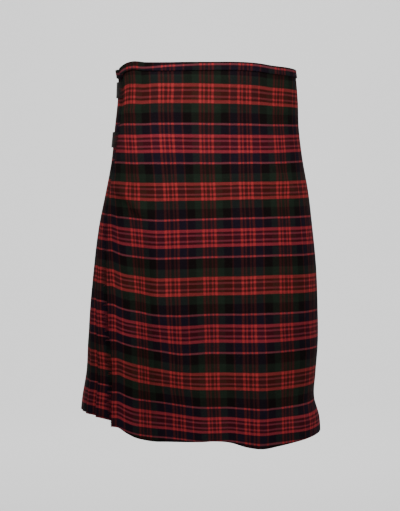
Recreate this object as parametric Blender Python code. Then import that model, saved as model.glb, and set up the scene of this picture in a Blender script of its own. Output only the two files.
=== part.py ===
"""A kilt as it hangs when worn: two aprons, a knife-pleated back, a waistband, a fringe and three straps.

The front faces -Y and the wearer's right is at -X. The waistband's top edge is at height 0, and the cloth
hangs down from it. A drop is a distance below that edge. A point of the cloth is placed by its drop, by its
arc length round the body from the front centre (positive towards +X) and by its level out from the body ring.
"""
import functools
import math

import bmesh
import bpy
import numpy as np

for old in list(bpy.data.objects):
    bpy.data.objects.remove(old, do_unlink=True)

# Cloth walls
CLOTH = 0.0010
SEAM = 0.0003
TOP = 0.0017
LAYER_PLAY = 0.0007
MITRE_LIMIT = 0.6

# Body ring: reach to each side at a drop, measured to the layer that lies next to the body
GIRTH = (
    # drop, left, right, front, back
    (0.000, 0.1410, 0.1376, 0.0960, 0.1060),
    (0.030, 0.1362, 0.1415, 0.0968, 0.1075),
    (0.055, 0.1375, 0.1440, 0.0975, 0.1090),
    (0.105, 0.1430, 0.1462, 0.1010, 0.1170),
    (0.155, 0.1482, 0.1523, 0.1060, 0.1260),
    (0.205, 0.1570, 0.1612, 0.1110, 0.1330),
    (0.260, 0.1670, 0.1676, 0.1160, 0.1370),
    (0.330, 0.1755, 0.1740, 0.1200, 0.1400),
    (0.390, 0.1810, 0.1760, 0.1230, 0.1430),
    (0.455, 0.1840, 0.1760, 0.1250, 0.1460),
    (0.500, 0.1852, 0.1724, 0.1260, 0.1480),
    (0.545, 0.1918, 0.1702, 0.1270, 0.1500),
    (0.572, 0.1943, 0.1776, 0.1275, 0.1508),
    (0.610, 0.1955, 0.1800, 0.1280, 0.1520),
)
SQUARENESS = 2.3
RING_STEPS = 360

# Top edge: level in front, with a hump near the fringed edge and lower at the sides
TOP_LINE = (
    # degrees from the front centre, drop
    (-180, 0.0045),
    (-130, 0.0065),
    (-90, 0.0090),
    (-74, 0.0092),
    (-66, 0.0086),
    (-58, 0.0010),
    (-49, -0.0022),
    (-40, -0.0004),
    (-30, 0.0002),
    (0, 0.0000),
    (20, 0.0000),
    (31, 0.0013),
    (44, 0.0047),
    (62, 0.0068),
    (79, 0.0085),
    (110, 0.0080),
    (180, 0.0045),
)

# Over-apron: where its fringed edge lies, in degrees from the front centre, and where it folds under
EDGE = (
    # drop, degrees
    (0.000, 66.5),
    (0.100, 70.0),
    (0.180, 72.5),
    (0.230, 69.5),
    (0.300, 62.5),
    (0.385, 56.5),
    (0.455, 52.0),
    (0.610, 46.0),
)
FOLD_UNDER_DEGREES = 104.0
FRINGE_ROOM = 0.004
APRON_COLUMNS = 42
EDGE_BLEND = (0.02, 0.16)
FOLD_BLEND = (0.72, 0.97)
APRON_RETURN = 0.014
APRON_ROWS = (0.0, 0.022, 0.06, 0.11, 0.19, 0.27, 0.34, 0.40, 0.47, 0.56, 0.66, 0.75, 0.83, 0.90, 0.955, 1.0)
APRON_HEM = (
    # share of the width from the fringed edge, drop
    (0.000, 0.5772),
    (0.031, 0.5782),
    (0.055, 0.5850),
    (0.085, 0.5920),
    (0.125, 0.5957),
    (0.211, 0.5970),
    (0.316, 0.5970),
    (0.430, 0.5985),
    (0.485, 0.6062),
    (0.535, 0.6098),
    (0.603, 0.6070),
    (0.690, 0.6030),
    (0.772, 0.5992),
    (0.860, 0.5960),
    (1.000, 0.5950),
)
APRON_LEVEL = (
    # drop, at the front, at the fringed edge, at the fold
    (0.000, 0.0055, 0.0074, 0.0053),
    (0.018, 0.0055, 0.0074, 0.0053),
    (0.050, 0.0032, 0.0060, 0.0052),
    (0.160, 0.0028, 0.0060, 0.0052),
    (0.240, 0.0028, 0.0064, 0.0056),
    (0.400, 0.0032, 0.0078, 0.0070),
    (0.610, 0.0040, 0.0095, 0.0090),
)

# Soft folds of the over-apron, each along a line drawn on the front
FOLDS = (
    # x and drop at its upper end, x and drop at its lower end, half width, height
    (-0.1420, 0.190, -0.0960, 0.243, 0.0100, 0.0032),
    (0.1010, 0.160, 0.1400, 0.214, 0.0110, 0.0020),
    (-0.0800, 0.215, -0.0740, 0.620, 0.0150, 0.0042),
    (-0.1120, 0.250, -0.1100, 0.620, 0.0150, -0.0016),
    (-0.0250, 0.400, -0.0240, 0.620, 0.0200, 0.0026),
    (0.0090, 0.480, 0.0080, 0.620, 0.0090, -0.0022),
    (0.0850, 0.400, 0.0890, 0.620, 0.0230, 0.0050),
    (0.1380, 0.420, 0.1400, 0.620, 0.0170, -0.0016),
    (0.0500, 0.250, 0.0560, 0.420, 0.0240, 0.0018),
)
FOLDS_FADE_IN = (-0.15, 0.35)
FOLDS_FADE_OUT = (0.80, 1.15)
FOLDS_END_Y = 0.02

# Under-apron
UNDER_LAP = 0.030
LAP_PLACES = (UNDER_LAP, 0.022)
UNDER_SHORT_OF_FOLD = 0.050
UNDER_COLUMNS = 28
UNDER_SINK_SHARE = 0.25
UNDER_HEM = (
    # share of the width from the seam, drop
    (0.00, 0.5760),
    (0.15, 0.5820),
    (0.40, 0.5880),
    (1.00, 0.5890),
)
UNDER_SINK = (
    # drop, depth below the body ring
    (0.000, 0.0000),
    (0.150, 0.0000),
    (0.300, 0.0030),
    (0.610, 0.0065),
)

# Knife pleats round the back
PLEATS = 20
PLEAT_ROWS = (0.0, 0.03, 0.11, 0.22, 0.34, 0.44, 0.56, 0.70, 0.85, 1.0)
PLEAT_FORM = (
    # drop, depth of the underfold, rise of the fold edge, gap of the box fold
    (0.000, 0.0110, 0.0052, 0.0050),
    (0.200, 0.0115, 0.0052, 0.0050),
    (0.260, 0.0120, 0.0062, 0.0052),
    (0.340, 0.0125, 0.0074, 0.0056),
    (0.450, 0.0130, 0.0088, 0.0064),
    (0.610, 0.0140, 0.0100, 0.0080),
)
PLEAT_HEM = (
    # share of the way round from the fringed edge, drop
    (-0.08, 0.5760),
    (0.00, 0.5720),
    (0.03, 0.5665),
    (0.08, 0.5630),
    (0.15, 0.5625),
    (0.35, 0.5720),
    (0.60, 0.5850),
    (0.85, 0.5940),
    (1.00, 0.5970),
    (1.08, 0.5970),
)
SWING = 0.20
SWING_STEP = 2.4
SWING_START = 0.7
SWING_DROPS = (0.200, 0.500)
ASIDE = 0.001
LAST_FOLD_DROP = 0.58
BOX_FOLD_LAP = 0.014
BOX_PLAY = 0.0046
BOX_PLAY_DROPS = (0.03, 0.45)

# Waistband: a strip folded over the top edge
BAND_HEIGHT = 0.0135
BAND_INSIDE = 0.0110
BAND_WALL = 0.0010
BAND_PLAY = 0.0009
BAND_OVER_PLEATS = 0.0005
BAND_CORNER_REACH = 0.0140
BAND_CORNER_FLARE = 0.0030
BAND_STEP = 0.0095
BAND_DIP = (0.004, 0.024)
BAND_PAST_EDGE = 0.002

# Fringe down the over-apron's edge
STRANDS = 150
STRIP_WIDTH = 0.0018
STRIP_WALL = 0.0010
STRAND_LENGTH = 0.0085
STRAND_SHARE = 0.55
STRIP_GAP = 0.0005
BACK_EVERY = 4
STRAND_UNEVEN = (
    # share of the length, step from strand to strand, start
    (0.16, 2.1, 0.0),
    (0.10, 5.3, 1.0),
)
STRAND_STRAY = 0.0006
STRAND_STRAY_STEP = 3.7
STRAND_DROOP = 0.0005
STRAND_DROOP_STEP = 1.7
STRAND_LIFT = 0.0024
STRAND_LIFT_RANGE = (0.001, 0.006)

# Straps and buckles
STRAP_WIDTH = 0.025
STRAP_WALL = 0.0016
STRAP_REST = 0.0072
STRAP_STEP = 0.006
FRAME_WIRE = 0.0013
FRAME_LENGTH = 0.022
FRAME_LEVEL = 0.0099
FRAME_CORNER = 0.004
FRAME_SIDES = 6
TAB_WALL = 0.0015
TAB_LENGTH = 0.046
TAB_STEPS = 10
TAB_MARGIN = 0.004
KEEPER_WIDTH = 0.008
KEEPER_WALL = 0.0012
KEEPER_AT = 0.023
STRAP_TAIL = 0.046
BUCKLE_AT = 0.108
WAIST_STRAP_DROP = 0.0420
HIP_STRAP_DROP = 0.122
TUCK = 0.015
EDGE_TO_STRAP_END = 0.012
STRAP_RISE = 0.018
STRAP_RISE_IN_FOLD = 0.0018
STRAP_START_IN_FOLD = 0.0022
TUCK_IN_FOLD = 0.0002
LOW_IN_FOLD = 0.0018
BAR_EASE = 0.002
TAIL_NEAR = 0.011
TAIL_DOWN = 0.018
TAIL_PLAY = 0.0006
TONGUE_WIDTH = 0.0026
TONGUE_WALL = 0.0020
TONGUE_OVER_BAR = 0.0011
TONGUE = (
    # distance past the frame's front bar, lift
    (-0.0022, 0.0000),
    (0.0040, 0.0004),
    (0.0140, 0.0016),
)


def read_table(table, value, column=1):
    """One column of a table at a value, eased through its rows."""
    places = np.array([row[0] for row in table])
    heights = np.array([row[column] for row in table])
    value = min(max(value, places[0]), places[-1])
    slopes = np.gradient(heights, places)
    index = min(int(np.searchsorted(places, value, side="right")) - 1, len(places) - 2)
    span = places[index + 1] - places[index]
    share = (value - places[index]) / span
    square = share * share
    cube = square * share
    return float(
        (2 * cube - 3 * square + 1) * heights[index]
        + (cube - 2 * square + share) * span * slopes[index]
        + (3 * square - 2 * cube) * heights[index + 1]
        + (cube - square) * span * slopes[index + 1]
    )


def rise(value, start, end):
    """0 before start, 1 after end and a soft step between."""
    share = min(max((value - start) / (end - start), 0.0), 1.0)
    return share * share * (3 - 2 * share)


class Ring:
    """The closed section of the body at one drop, measured by arc length from the front centre."""

    def __init__(self, drop):
        left, right, front, back = (read_table(GIRTH, drop, column) for column in range(1, 5))
        self.angle = np.linspace(-math.pi, math.pi, RING_STEPS + 1)
        power = 2 / SQUARENESS
        side = np.sin(self.angle)
        ahead = np.cos(self.angle)
        self.x = np.sign(side) * np.abs(side) ** power * np.where(side < 0, left, right)
        self.y = -np.sign(ahead) * np.abs(ahead) ** power * np.where(ahead < 0, back, front)
        steps = np.hypot(np.diff(self.x), np.diff(self.y))
        self.run = np.concatenate([[0.0], np.cumsum(steps)])
        self.length = self.run[-1]
        self.run = self.run - np.interp(0.0, self.angle, self.run)
        along_x = np.roll(self.x[:-1], -1) - np.roll(self.x[:-1], 1)
        along_y = np.roll(self.y[:-1], -1) - np.roll(self.y[:-1], 1)
        size = np.hypot(along_x, along_y)
        self.out_x = np.append(along_y / size, along_y[0] / size[0])
        self.out_y = np.append(-along_x / size, -along_x[0] / size[0])

    def arc_at(self, degrees):
        return float(np.interp(math.radians(degrees), self.angle, self.run))

    def at(self, arc, level):
        """The point at an arc length and a level, in plan."""
        while arc < self.run[0]:
            arc += self.length
        while arc > self.run[-1]:
            arc -= self.length
        out_x = float(np.interp(arc, self.run, self.out_x))
        out_y = float(np.interp(arc, self.run, self.out_y))
        size = math.hypot(out_x, out_y)
        return (
            float(np.interp(arc, self.run, self.x)) + level * out_x / size,
            float(np.interp(arc, self.run, self.y)) + level * out_y / size,
        )


@functools.lru_cache(maxsize=None)
def ring(drop):
    return Ring(drop)


def on_body(arc, level, drop):
    """The point in space at an arc length, a level and a drop."""
    x, y = ring(round(drop, 6)).at(arc, level)
    return (x, y, -drop)


def edge_arc(drop):
    """Arc length of the over-apron's fringed edge."""
    return ring(drop).arc_at(-read_table(EDGE, drop)) + FRINGE_ROOM


def fold_arc(drop):
    """Arc length of the middle of the box fold, where the over-apron turns under and the pleats begin."""
    return ring(drop).arc_at(FOLD_UNDER_DEGREES)


def top_at(arc):
    """Drop of the waistband's top edge at an arc length of the top section."""
    plan = ring(0.0)
    while arc > plan.run[-1]:
        arc -= plan.length
    while arc < plan.run[0]:
        arc += plan.length
    degrees = math.degrees(float(np.interp(arc, plan.run, plan.angle)))
    return read_table(TOP_LINE, degrees)


def hung(row, arc, hem):
    """Drop of a row of cloth between the top edge at an arc length and the hem."""
    top = TOP + top_at(arc)
    return top + row * (hem - top)


def pleated_width(drop):
    return ring(drop).length - fold_arc(drop) + edge_arc(drop)


def material_of(name, color, roughness, metallic=0.0):
    material = bpy.data.materials.get(name) or bpy.data.materials.new(name)
    material.use_nodes = True
    shader = material.node_tree.nodes["Principled BSDF"]
    shader.inputs["Base Color"].default_value = (*color, 1.0)
    shader.inputs["Roughness"].default_value = roughness
    shader.inputs["Metallic"].default_value = metallic
    return material


def finish_object(name, mesh_data, material):
    """Turns a bmesh into a named object whose faces point outwards."""
    bmesh.ops.recalc_face_normals(mesh_data, faces=mesh_data.faces)
    if mesh_data.calc_volume(signed=True) < 0:
        bmesh.ops.reverse_faces(mesh_data, faces=mesh_data.faces)
    mesh = bpy.data.meshes.new(name)
    mesh_data.to_mesh(mesh)
    mesh_data.free()
    mesh.materials.append(material)
    mesh.shade_smooth()
    mesh.set_sharp_from_angle(angle=math.radians(40))
    piece = bpy.data.objects.new(name, mesh)
    bpy.context.scene.collection.objects.link(piece)
    return piece


def cloth_wall(name, sections, wall, material):
    """A closed wall round a middle surface. sections holds the points of each row as (arc, level, drop)."""
    outer = []
    inner = []
    for section in sections:
        flat = np.array([(arc, level) for arc, level, _ in section])
        before = np.vstack([flat[:1], flat[:-1]])
        after = np.vstack([flat[1:], flat[-1:]])
        arriving = flat - before
        leaving = after - flat
        arriving[0] = leaving[0]
        leaving[-1] = arriving[-1]
        arriving /= np.linalg.norm(arriving, axis=1)[:, None]
        leaving /= np.linalg.norm(leaving, axis=1)[:, None]
        middle = arriving + leaving
        middle /= np.linalg.norm(middle, axis=1)[:, None]
        stretch = wall / 2 / np.maximum((middle * arriving).sum(axis=1), MITRE_LIMIT)
        sideways = np.column_stack([-middle[:, 1], middle[:, 0]]) * stretch[:, None]
        for store, sign in ((outer, 1), (inner, -1)):
            moved = flat + sign * sideways
            row = []
            for (arc, level), (_, _, drop) in zip(moved, section):
                row.append(on_body(arc, level, drop))
            store.append(row)
    return closed_shell(name, outer, inner, material)


def closed_shell(name, outer, inner, material):
    """Joins two grids of points, row by row, into one closed body."""
    shell = bmesh.new()
    grids = [[[shell.verts.new(point) for point in row] for row in grid] for grid in (outer, inner)]
    rows = len(outer)
    columns = len(outer[0])
    for grid in grids:
        for upper, lower in zip(grid, grid[1:]):
            for column in range(columns - 1):
                shell.faces.new((upper[column], upper[column + 1], lower[column + 1], lower[column]))
    front, behind = grids
    for row in (0, rows - 1):
        for column in range(columns - 1):
            shell.faces.new(
                (front[row][column], front[row][column + 1], behind[row][column + 1], behind[row][column])
            )
    for column in (0, columns - 1):
        for row in range(rows - 1):
            shell.faces.new(
                (front[row][column], front[row + 1][column], behind[row + 1][column], behind[row][column])
            )
    return finish_object(name, shell, material)


def lofted_bar(name, rings_of_points, material, closed=False):
    """A solid bar through equal rings of points, capped at its ends or closed into a loop."""
    bar = bmesh.new()
    loops = [[bar.verts.new(point) for point in points] for points in rings_of_points]
    pairs = list(zip(loops, loops[1:]))
    if closed:
        pairs.append((loops[-1], loops[0]))
    for first, second in pairs:
        for index in range(len(first)):
            after = (index + 1) % len(first)
            bar.faces.new((first[index], first[after], second[after], second[index]))
    if not closed:
        bar.faces.new(loops[0])
        bar.faces.new(loops[-1])
    return finish_object(name, bar, material)


def fold_relief(x, drop):
    """How far the over-apron's soft folds lift it at a place on the front."""
    total = 0.0
    for top_x, top_drop, low_x, low_drop, half_width, height in FOLDS:
        run_x = low_x - top_x
        run_drop = low_drop - top_drop
        length = math.hypot(run_x, run_drop)
        along = ((x - top_x) * run_x + (drop - top_drop) * run_drop) / length**2
        away = abs((x - top_x) * run_drop - (drop - top_drop) * run_x) / length
        fade = rise(along, *FOLDS_FADE_IN) * (1 - rise(along, *FOLDS_FADE_OUT))
        total += height * fade * math.exp(-((away / half_width) ** 2))
    return total


def apron_level(share, arc, drop):
    """Level of the over-apron's middle surface, at a share of its width from the fringed edge."""
    front = read_table(APRON_LEVEL, drop, 1)
    edge = read_table(APRON_LEVEL, drop, 2)
    fold = read_table(APRON_LEVEL, drop, 3)
    level = front + (edge - front) * (1 - rise(share, *EDGE_BLEND))
    level += (fold - front) * rise(share, *FOLD_BLEND)
    x, y = ring(round(drop, 6)).at(arc, 0.0)
    if y < FOLDS_END_Y:
        level += fold_relief(x, drop)
    return level


def box_gap(drop):
    return read_table(PLEAT_FORM, drop, 3)


def apron_drop(row, share):
    """Drop of a row of the over-apron at a share of its width from the fringed edge."""
    arc = edge_arc(0.0) + share * (fold_arc(0.0) - edge_arc(0.0))
    return hung(row, arc, read_table(APRON_HEM, share))


def over_apron():
    """The outer front: fringed edge, front, side, and the turned-under edge of the box fold."""
    turn = (CLOTH + LAYER_PLAY) / 2
    sections = []
    for row in APRON_ROWS:
        section = []
        for column in range(APRON_COLUMNS + 1):
            share = column / APRON_COLUMNS
            drop = apron_drop(row, share)
            start = edge_arc(round(drop, 6))
            end = fold_arc(round(drop, 6)) - box_gap(drop) / 2 - turn
            arc = start + share * (end - start)
            section.append((arc, apron_level(share, arc, drop), drop))
        arc, level, drop = section[-1]
        section.append((arc + turn, level - turn, drop))
        section.append((arc, level - 2 * turn, drop))
        section.append((arc - APRON_RETURN, level - 2 * turn, drop))
        sections.append(section)
    return cloth_wall("over_apron", sections, CLOTH, material_of("tartan_front", (0.10, 0.035, 0.035), 0.9))


def under_apron():
    """The inner front, seamed to the pleats under the over-apron's edge and free at its other edge."""
    sections = []
    for row in PLEAT_ROWS:
        section = []
        for column in range(UNDER_COLUMNS + 1):
            share = column / UNDER_COLUMNS
            top_width = fold_arc(0.0) - UNDER_SHORT_OF_FOLD - edge_arc(0.0)
            top_arc = edge_arc(0.0) + UNDER_LAP + share * top_width
            drop = hung(row, top_arc, read_table(UNDER_HEM, share))
            start = edge_arc(round(drop, 6)) + UNDER_LAP + SEAM
            end = fold_arc(round(drop, 6)) - UNDER_SHORT_OF_FOLD
            sink = read_table(UNDER_SINK, drop) * rise(share, 0.0, UNDER_SINK_SHARE)
            section.append((start + share * (end - start), -sink, drop))
        sections.append(section)
    return cloth_wall("under_apron", sections, CLOTH, material_of("tartan_under", (0.09, 0.03, 0.035), 0.9))


def pleat_drop(row, share):
    """Drop of a row of the pleats at a share of the way round from the fringed edge."""
    return hung(row, edge_arc(0.0) - share * pleated_width(0.0), read_table(PLEAT_HEM, share))


def uneven(pleat, drop):
    """How much more or less than the table one pleat's fold edge stands out, from the hip down."""
    return 1 + SWING * math.sin(SWING_STEP * pleat + SWING_START) * rise(drop, *SWING_DROPS)


def pleat_section(row):
    """One section of the pleated back, from the seam at the under-apron round to the box fold."""
    turn = (CLOTH + LAYER_PLAY) / 2
    section = []

    def add(pleat, side, underfolds, distance, level, lift=0.0):
        """A point of a pleat: its near or far side, 0 or 1, less so many underfolds and a distance."""
        pitches = pleat + ASIDE + side * (1 - 2 * ASIDE)
        drop = pleat_drop(row, pitches / PLEATS)
        key = round(drop, 6)
        under = read_table(PLEAT_FORM, drop, 1)
        height = read_table(PLEAT_FORM, drop, 2) * uneven(pleat, drop)
        place = pitches * pleated_width(key) / PLEATS - underfolds * under - distance
        section.append((edge_arc(key) - place, height * lift + level, drop))

    for reach in LAP_PLACES:
        drop = pleat_drop(row, -reach / pleated_width(0.0))
        section.append((edge_arc(round(drop, 6)) + reach, 0.0, drop))
    for pleat in range(PLEATS):
        inset = box_gap(TOP + row * LAST_FOLD_DROP) / 2 if pleat == PLEATS - 1 else 0.0
        drop = pleat_drop(row, (pleat + 1) / PLEATS)
        pitch = pleated_width(round(drop, 6)) / PLEATS
        under = read_table(PLEAT_FORM, drop, 1)
        if pleat == 0:
            add(pleat, 0, 1, 0.0, 0.0)
        add(pleat, 0, 0, 0.0, 0.0, under / (pitch + under))
        add(pleat, 1, 1, 0.0, 0.0, pitch / (pitch + under))
        add(pleat, 1, 0, turn + inset, 0.0, 1.0)
        add(pleat, 1, 0, inset, -turn, 1.0)
        add(pleat, 1, 0, turn + inset, -2 * turn, 1.0)
        add(pleat, 1, 1, -turn, 2 * turn)
        add(pleat, 1, 1, 0.0, turn)
        add(pleat, 1, 1, -turn, 0.0)
    drop = pleat_drop(row, 1.0)
    play = 2 * SEAM + BOX_PLAY * rise(drop, *BOX_PLAY_DROPS)
    level = read_table(APRON_LEVEL, drop, 3) - 2 * turn - CLOTH - play
    key = round(drop, 6)
    section.append((edge_arc(key) - pleated_width(key) - BOX_FOLD_LAP, level, drop))
    return section


def pleats():
    sections = [pleat_section(row) for row in PLEAT_ROWS]
    reversed_sections = [section[::-1] for section in sections]
    tartan = material_of("tartan_back", (0.09, 0.035, 0.03), 0.9)
    return cloth_wall("pleats", reversed_sections, CLOTH, tartan)


def band_section(arc, inside, outside):
    """The inverted U of the waistband at one arc length, between two levels."""
    half = BAND_WALL / 2
    top = top_at(arc)
    corners = (
        (outside + half, BAND_HEIGHT),
        (outside + half, 0.0),
        (inside - half, 0.0),
        (inside - half, BAND_INSIDE),
        (inside + half, BAND_INSIDE),
        (inside + half, BAND_WALL),
        (outside - half, BAND_WALL),
        (outside - half, BAND_HEIGHT),
    )
    return [on_body(arc, level, top + depth) for level, depth in corners]


def waistband_front():
    """The band on the over-apron. Its inner leg lies on the under-apron's band, then on the fold."""
    start = edge_arc(0.0)
    end = fold_arc(0.0) - SEAM / 2
    count = math.ceil((end - start) / BAND_STEP)
    clear = CLOTH / 2 + BAND_PLAY + BAND_WALL / 2
    sections = []
    for index in range(count + 1):
        share = index / count
        arc = start + share * (end - start)
        wall = apron_level(share, arc, TOP)
        flare = BAND_CORNER_FLARE * (1 - rise(arc - start, 0.0, BAND_CORNER_REACH))
        under_end = fold_arc(0.0) - UNDER_SHORT_OF_FOLD
        dip = rise(arc - under_end, *BAND_DIP)
        inside = (wall - clear) * (1 - dip) - clear * dip
        sections.append(band_section(arc, inside, wall + clear + flare))
    return lofted_bar("waistband_front", sections, material_of("tartan_band", (0.06, 0.02, 0.02), 0.9))


def waistband_back():
    """The part of the band on the pleats and, beneath the over-apron, on the under-apron."""
    clear = CLOTH / 2 + BAND_PLAY + BAND_WALL / 2
    start = fold_arc(0.0) + SEAM / 2
    end = fold_arc(0.0) - UNDER_SHORT_OF_FOLD + ring(0.0).length
    edge = edge_arc(0.0) + ring(0.0).length
    count = math.ceil((end - start) / BAND_STEP)
    underfold = read_table(PLEAT_FORM, 0.0, 1)
    height = read_table(PLEAT_FORM, 0.0, 2)
    pitch = pleated_width(0.0) / PLEATS
    sections = []
    for index in range(count + 1):
        arc = start + index / count * (end - start)
        on_pleats = min(max((edge + underfold + BAND_PAST_EDGE - arc) / (underfold + pitch), 0.0), 1.0)
        outside = clear + (height + BAND_OVER_PLEATS) * on_pleats
        sections.append(band_section(arc, -clear, outside))
    return lofted_bar("waistband_back", sections, material_of("tartan_band", (0.06, 0.02, 0.02), 0.9))


def beside_edge(reach, lift, drop):
    """A point beyond the over-apron's edge, on the straight line between two of the apron's own rows."""
    drops = [apron_drop(row, 0.0) for row in APRON_ROWS]
    index = min(int(np.searchsorted(drops, drop, side="right")) - 1, len(drops) - 2)
    share = (drop - drops[index]) / (drops[index + 1] - drops[index])
    ends = []
    for row_drop in drops[index : index + 2]:
        arc = edge_arc(round(row_drop, 6))
        level = apron_level(0.0, arc, row_drop)
        ends.append(np.array(on_body(arc - reach, level + lift, row_drop)))
    return tuple(ends[0] + share * (ends[1] - ends[0]))


def over_strap(drop):
    """1 where a strap passes below the fringe, 0 elsewhere and a soft step between."""
    away = min(abs(drop - WAIST_STRAP_DROP), abs(drop - HIP_STRAP_DROP)) - STRAP_WIDTH / 2
    return 1 - rise(away, *STRAND_LIFT_RANGE)


def fringe():
    """A narrow strip along the over-apron's edge with a comb of tapered strands, one closed body."""
    steps = 2 * STRANDS
    hem = read_table(APRON_HEM, 0.0)
    top = top_at(edge_arc(0.0)) + BAND_HEIGHT + SEAM
    comb = bmesh.new()
    half = STRIP_WALL / 2

    def pair(reach, lift, drop):
        """An outer and an inner point of the comb."""
        return [comb.verts.new(beside_edge(reach, lift + side, drop)) for side in (half, -half)]

    roots = []
    backs = []
    for step in range(steps + 1):
        share = (step // 2 + (STRAND_SHARE if step % 2 else 0.0)) / (STRANDS + STRAND_SHARE)
        drop = top + share * (hem - top)
        roots.append(pair(STRIP_GAP + STRIP_WIDTH, 0.0, drop))
        if step % BACK_EVERY == 0:
            backs.append((step, pair(STRIP_GAP, 0.0, drop)))
    for (first, back_a), (second, back_b) in zip(backs, backs[1:]):
        for side in (0, 1):
            run = [roots[step][side] for step in range(first, second + 1)]
            comb.faces.new([back_a[side]] + run + [back_b[side]])
        comb.faces.new((back_a[0], back_b[0], back_b[1], back_a[1]))
    for end in (0, -1):
        comb.faces.new((roots[end][0], roots[end][1], backs[end][1][1], backs[end][1][0]))
    for step in range(steps):
        upper = roots[step]
        lower = roots[step + 1]
        if step % 2 == 1:
            comb.faces.new((upper[0], lower[0], lower[1], upper[1]))
            continue
        strand = step // 2
        share = (strand + STRAND_SHARE / 2) / (STRANDS + STRAND_SHARE)
        drop = top + share * (hem - top)
        more = sum(part * math.sin(step_size * strand + start) for part, step_size, start in STRAND_UNEVEN)
        reach = STRIP_GAP + STRIP_WIDTH + STRAND_LENGTH * (1 + more)
        lift = STRAND_STRAY * (1 + math.sin(STRAND_STRAY_STEP * strand)) + STRAND_LIFT * over_strap(drop)
        tip = pair(reach, lift, drop + STRAND_DROOP * math.sin(STRAND_DROOP_STEP * strand))
        comb.faces.new((upper[0], upper[1], tip[1], tip[0]))
        comb.faces.new((lower[0], lower[1], tip[1], tip[0]))
        comb.faces.new((upper[0], lower[0], tip[0]))
        comb.faces.new((upper[1], lower[1], tip[1]))
    bmesh.ops.triangulate(comb, faces=comb.faces)
    return finish_object("fringe", comb, material_of("fringe_wool", (0.16, 0.03, 0.03), 0.95))


def on_fastening(arc, level, middle_drop, drop_side):
    """A point of a strap or its buckle, which lie straight across their width."""
    reach = STRAP_WIDTH / 2 + TAB_MARGIN
    upper = np.array(on_body(arc, level, middle_drop - reach))
    lower = np.array(on_body(arc, level, middle_drop + reach))
    return tuple(upper + (drop_side + reach) / (2 * reach) * (lower - upper))


def leather_strip(name, places, width, wall, middle_drop, material):
    """A flat strip whose middle line runs through (arc, level) places, level across its width."""
    sections = []
    for arc, level in places:
        points = []
        for level_side, drop_side in ((1, -1), (1, 1), (-1, 1), (-1, -1)):
            side_level = level + level_side * wall / 2
            points.append(on_fastening(arc, side_level, middle_drop, drop_side * width / 2))
        sections.append(points)
    return lofted_bar(name, sections, material)


def buckle_frame(name, middle_arc, middle_drop, material):
    """A rounded rectangular loop of wire that lies along the strap."""
    half_length = FRAME_LENGTH / 2
    half_height = STRAP_WIDTH / 2 + SEAM * 3 + FRAME_WIRE
    path = []
    for quarter in range(4):
        sign_arc = (1, -1, -1, 1)[quarter]
        sign_drop = (1, 1, -1, -1)[quarter]
        for step in range(4):
            angle = math.radians(90 * quarter + 30 * step)
            path.append(
                (
                    sign_arc * (half_length - FRAME_CORNER) + FRAME_CORNER * math.cos(angle),
                    sign_drop * (half_height - FRAME_CORNER) + FRAME_CORNER * math.sin(angle),
                )
            )
    sections = []
    for index, (arc_side, drop_side) in enumerate(path):
        before = path[index - 1]
        after = path[(index + 1) % len(path)]
        run = (after[0] - before[0], after[1] - before[1])
        size = math.hypot(*run)
        outward = (run[1] / size, -run[0] / size)
        points = []
        for side in range(FRAME_SIDES):
            angle = 2 * math.pi * side / FRAME_SIDES
            spread = FRAME_WIRE * math.cos(angle)
            level = FRAME_LEVEL + FRAME_WIRE * math.sin(angle)
            arc = middle_arc + arc_side + spread * outward[0]
            points.append(on_fastening(arc, level, middle_drop, drop_side + spread * outward[1]))
        sections.append(points)
    return lofted_bar(name, sections, material, closed=True)


def keeper(name, arc, middle_drop, foot_level, strap_level, material):
    """A leather bridge over the strap's tail, standing on the tab."""
    half_width = STRAP_WIDTH / 2 + SEAM * 2
    top = strap_level + STRAP_WALL / 2 + SEAM
    outline = (
        (-half_width - KEEPER_WALL, foot_level),
        (-half_width - KEEPER_WALL, top + KEEPER_WALL),
        (half_width + KEEPER_WALL, top + KEEPER_WALL),
        (half_width + KEEPER_WALL, foot_level),
        (half_width, foot_level),
        (half_width, top),
        (-half_width, top),
        (-half_width, foot_level),
    )
    sections = []
    for side in (-0.5, 0.5):
        end_arc = arc + side * KEEPER_WIDTH
        sections.append([on_fastening(end_arc, level, middle_drop, across) for across, level in outline])
    return lofted_bar(name, sections, material)


def with_steps(route):
    """The route with extra places on its longer stretches, so that they follow the body."""
    places = [route[0]]
    for (start, low), (end, high) in zip(route, route[1:]):
        count = math.ceil((end - start) / STRAP_STEP)
        for step in range(1, count + 1):
            share = step / count
            places.append((start + share * (end - start), low + share * (high - low)))
    return places


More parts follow.
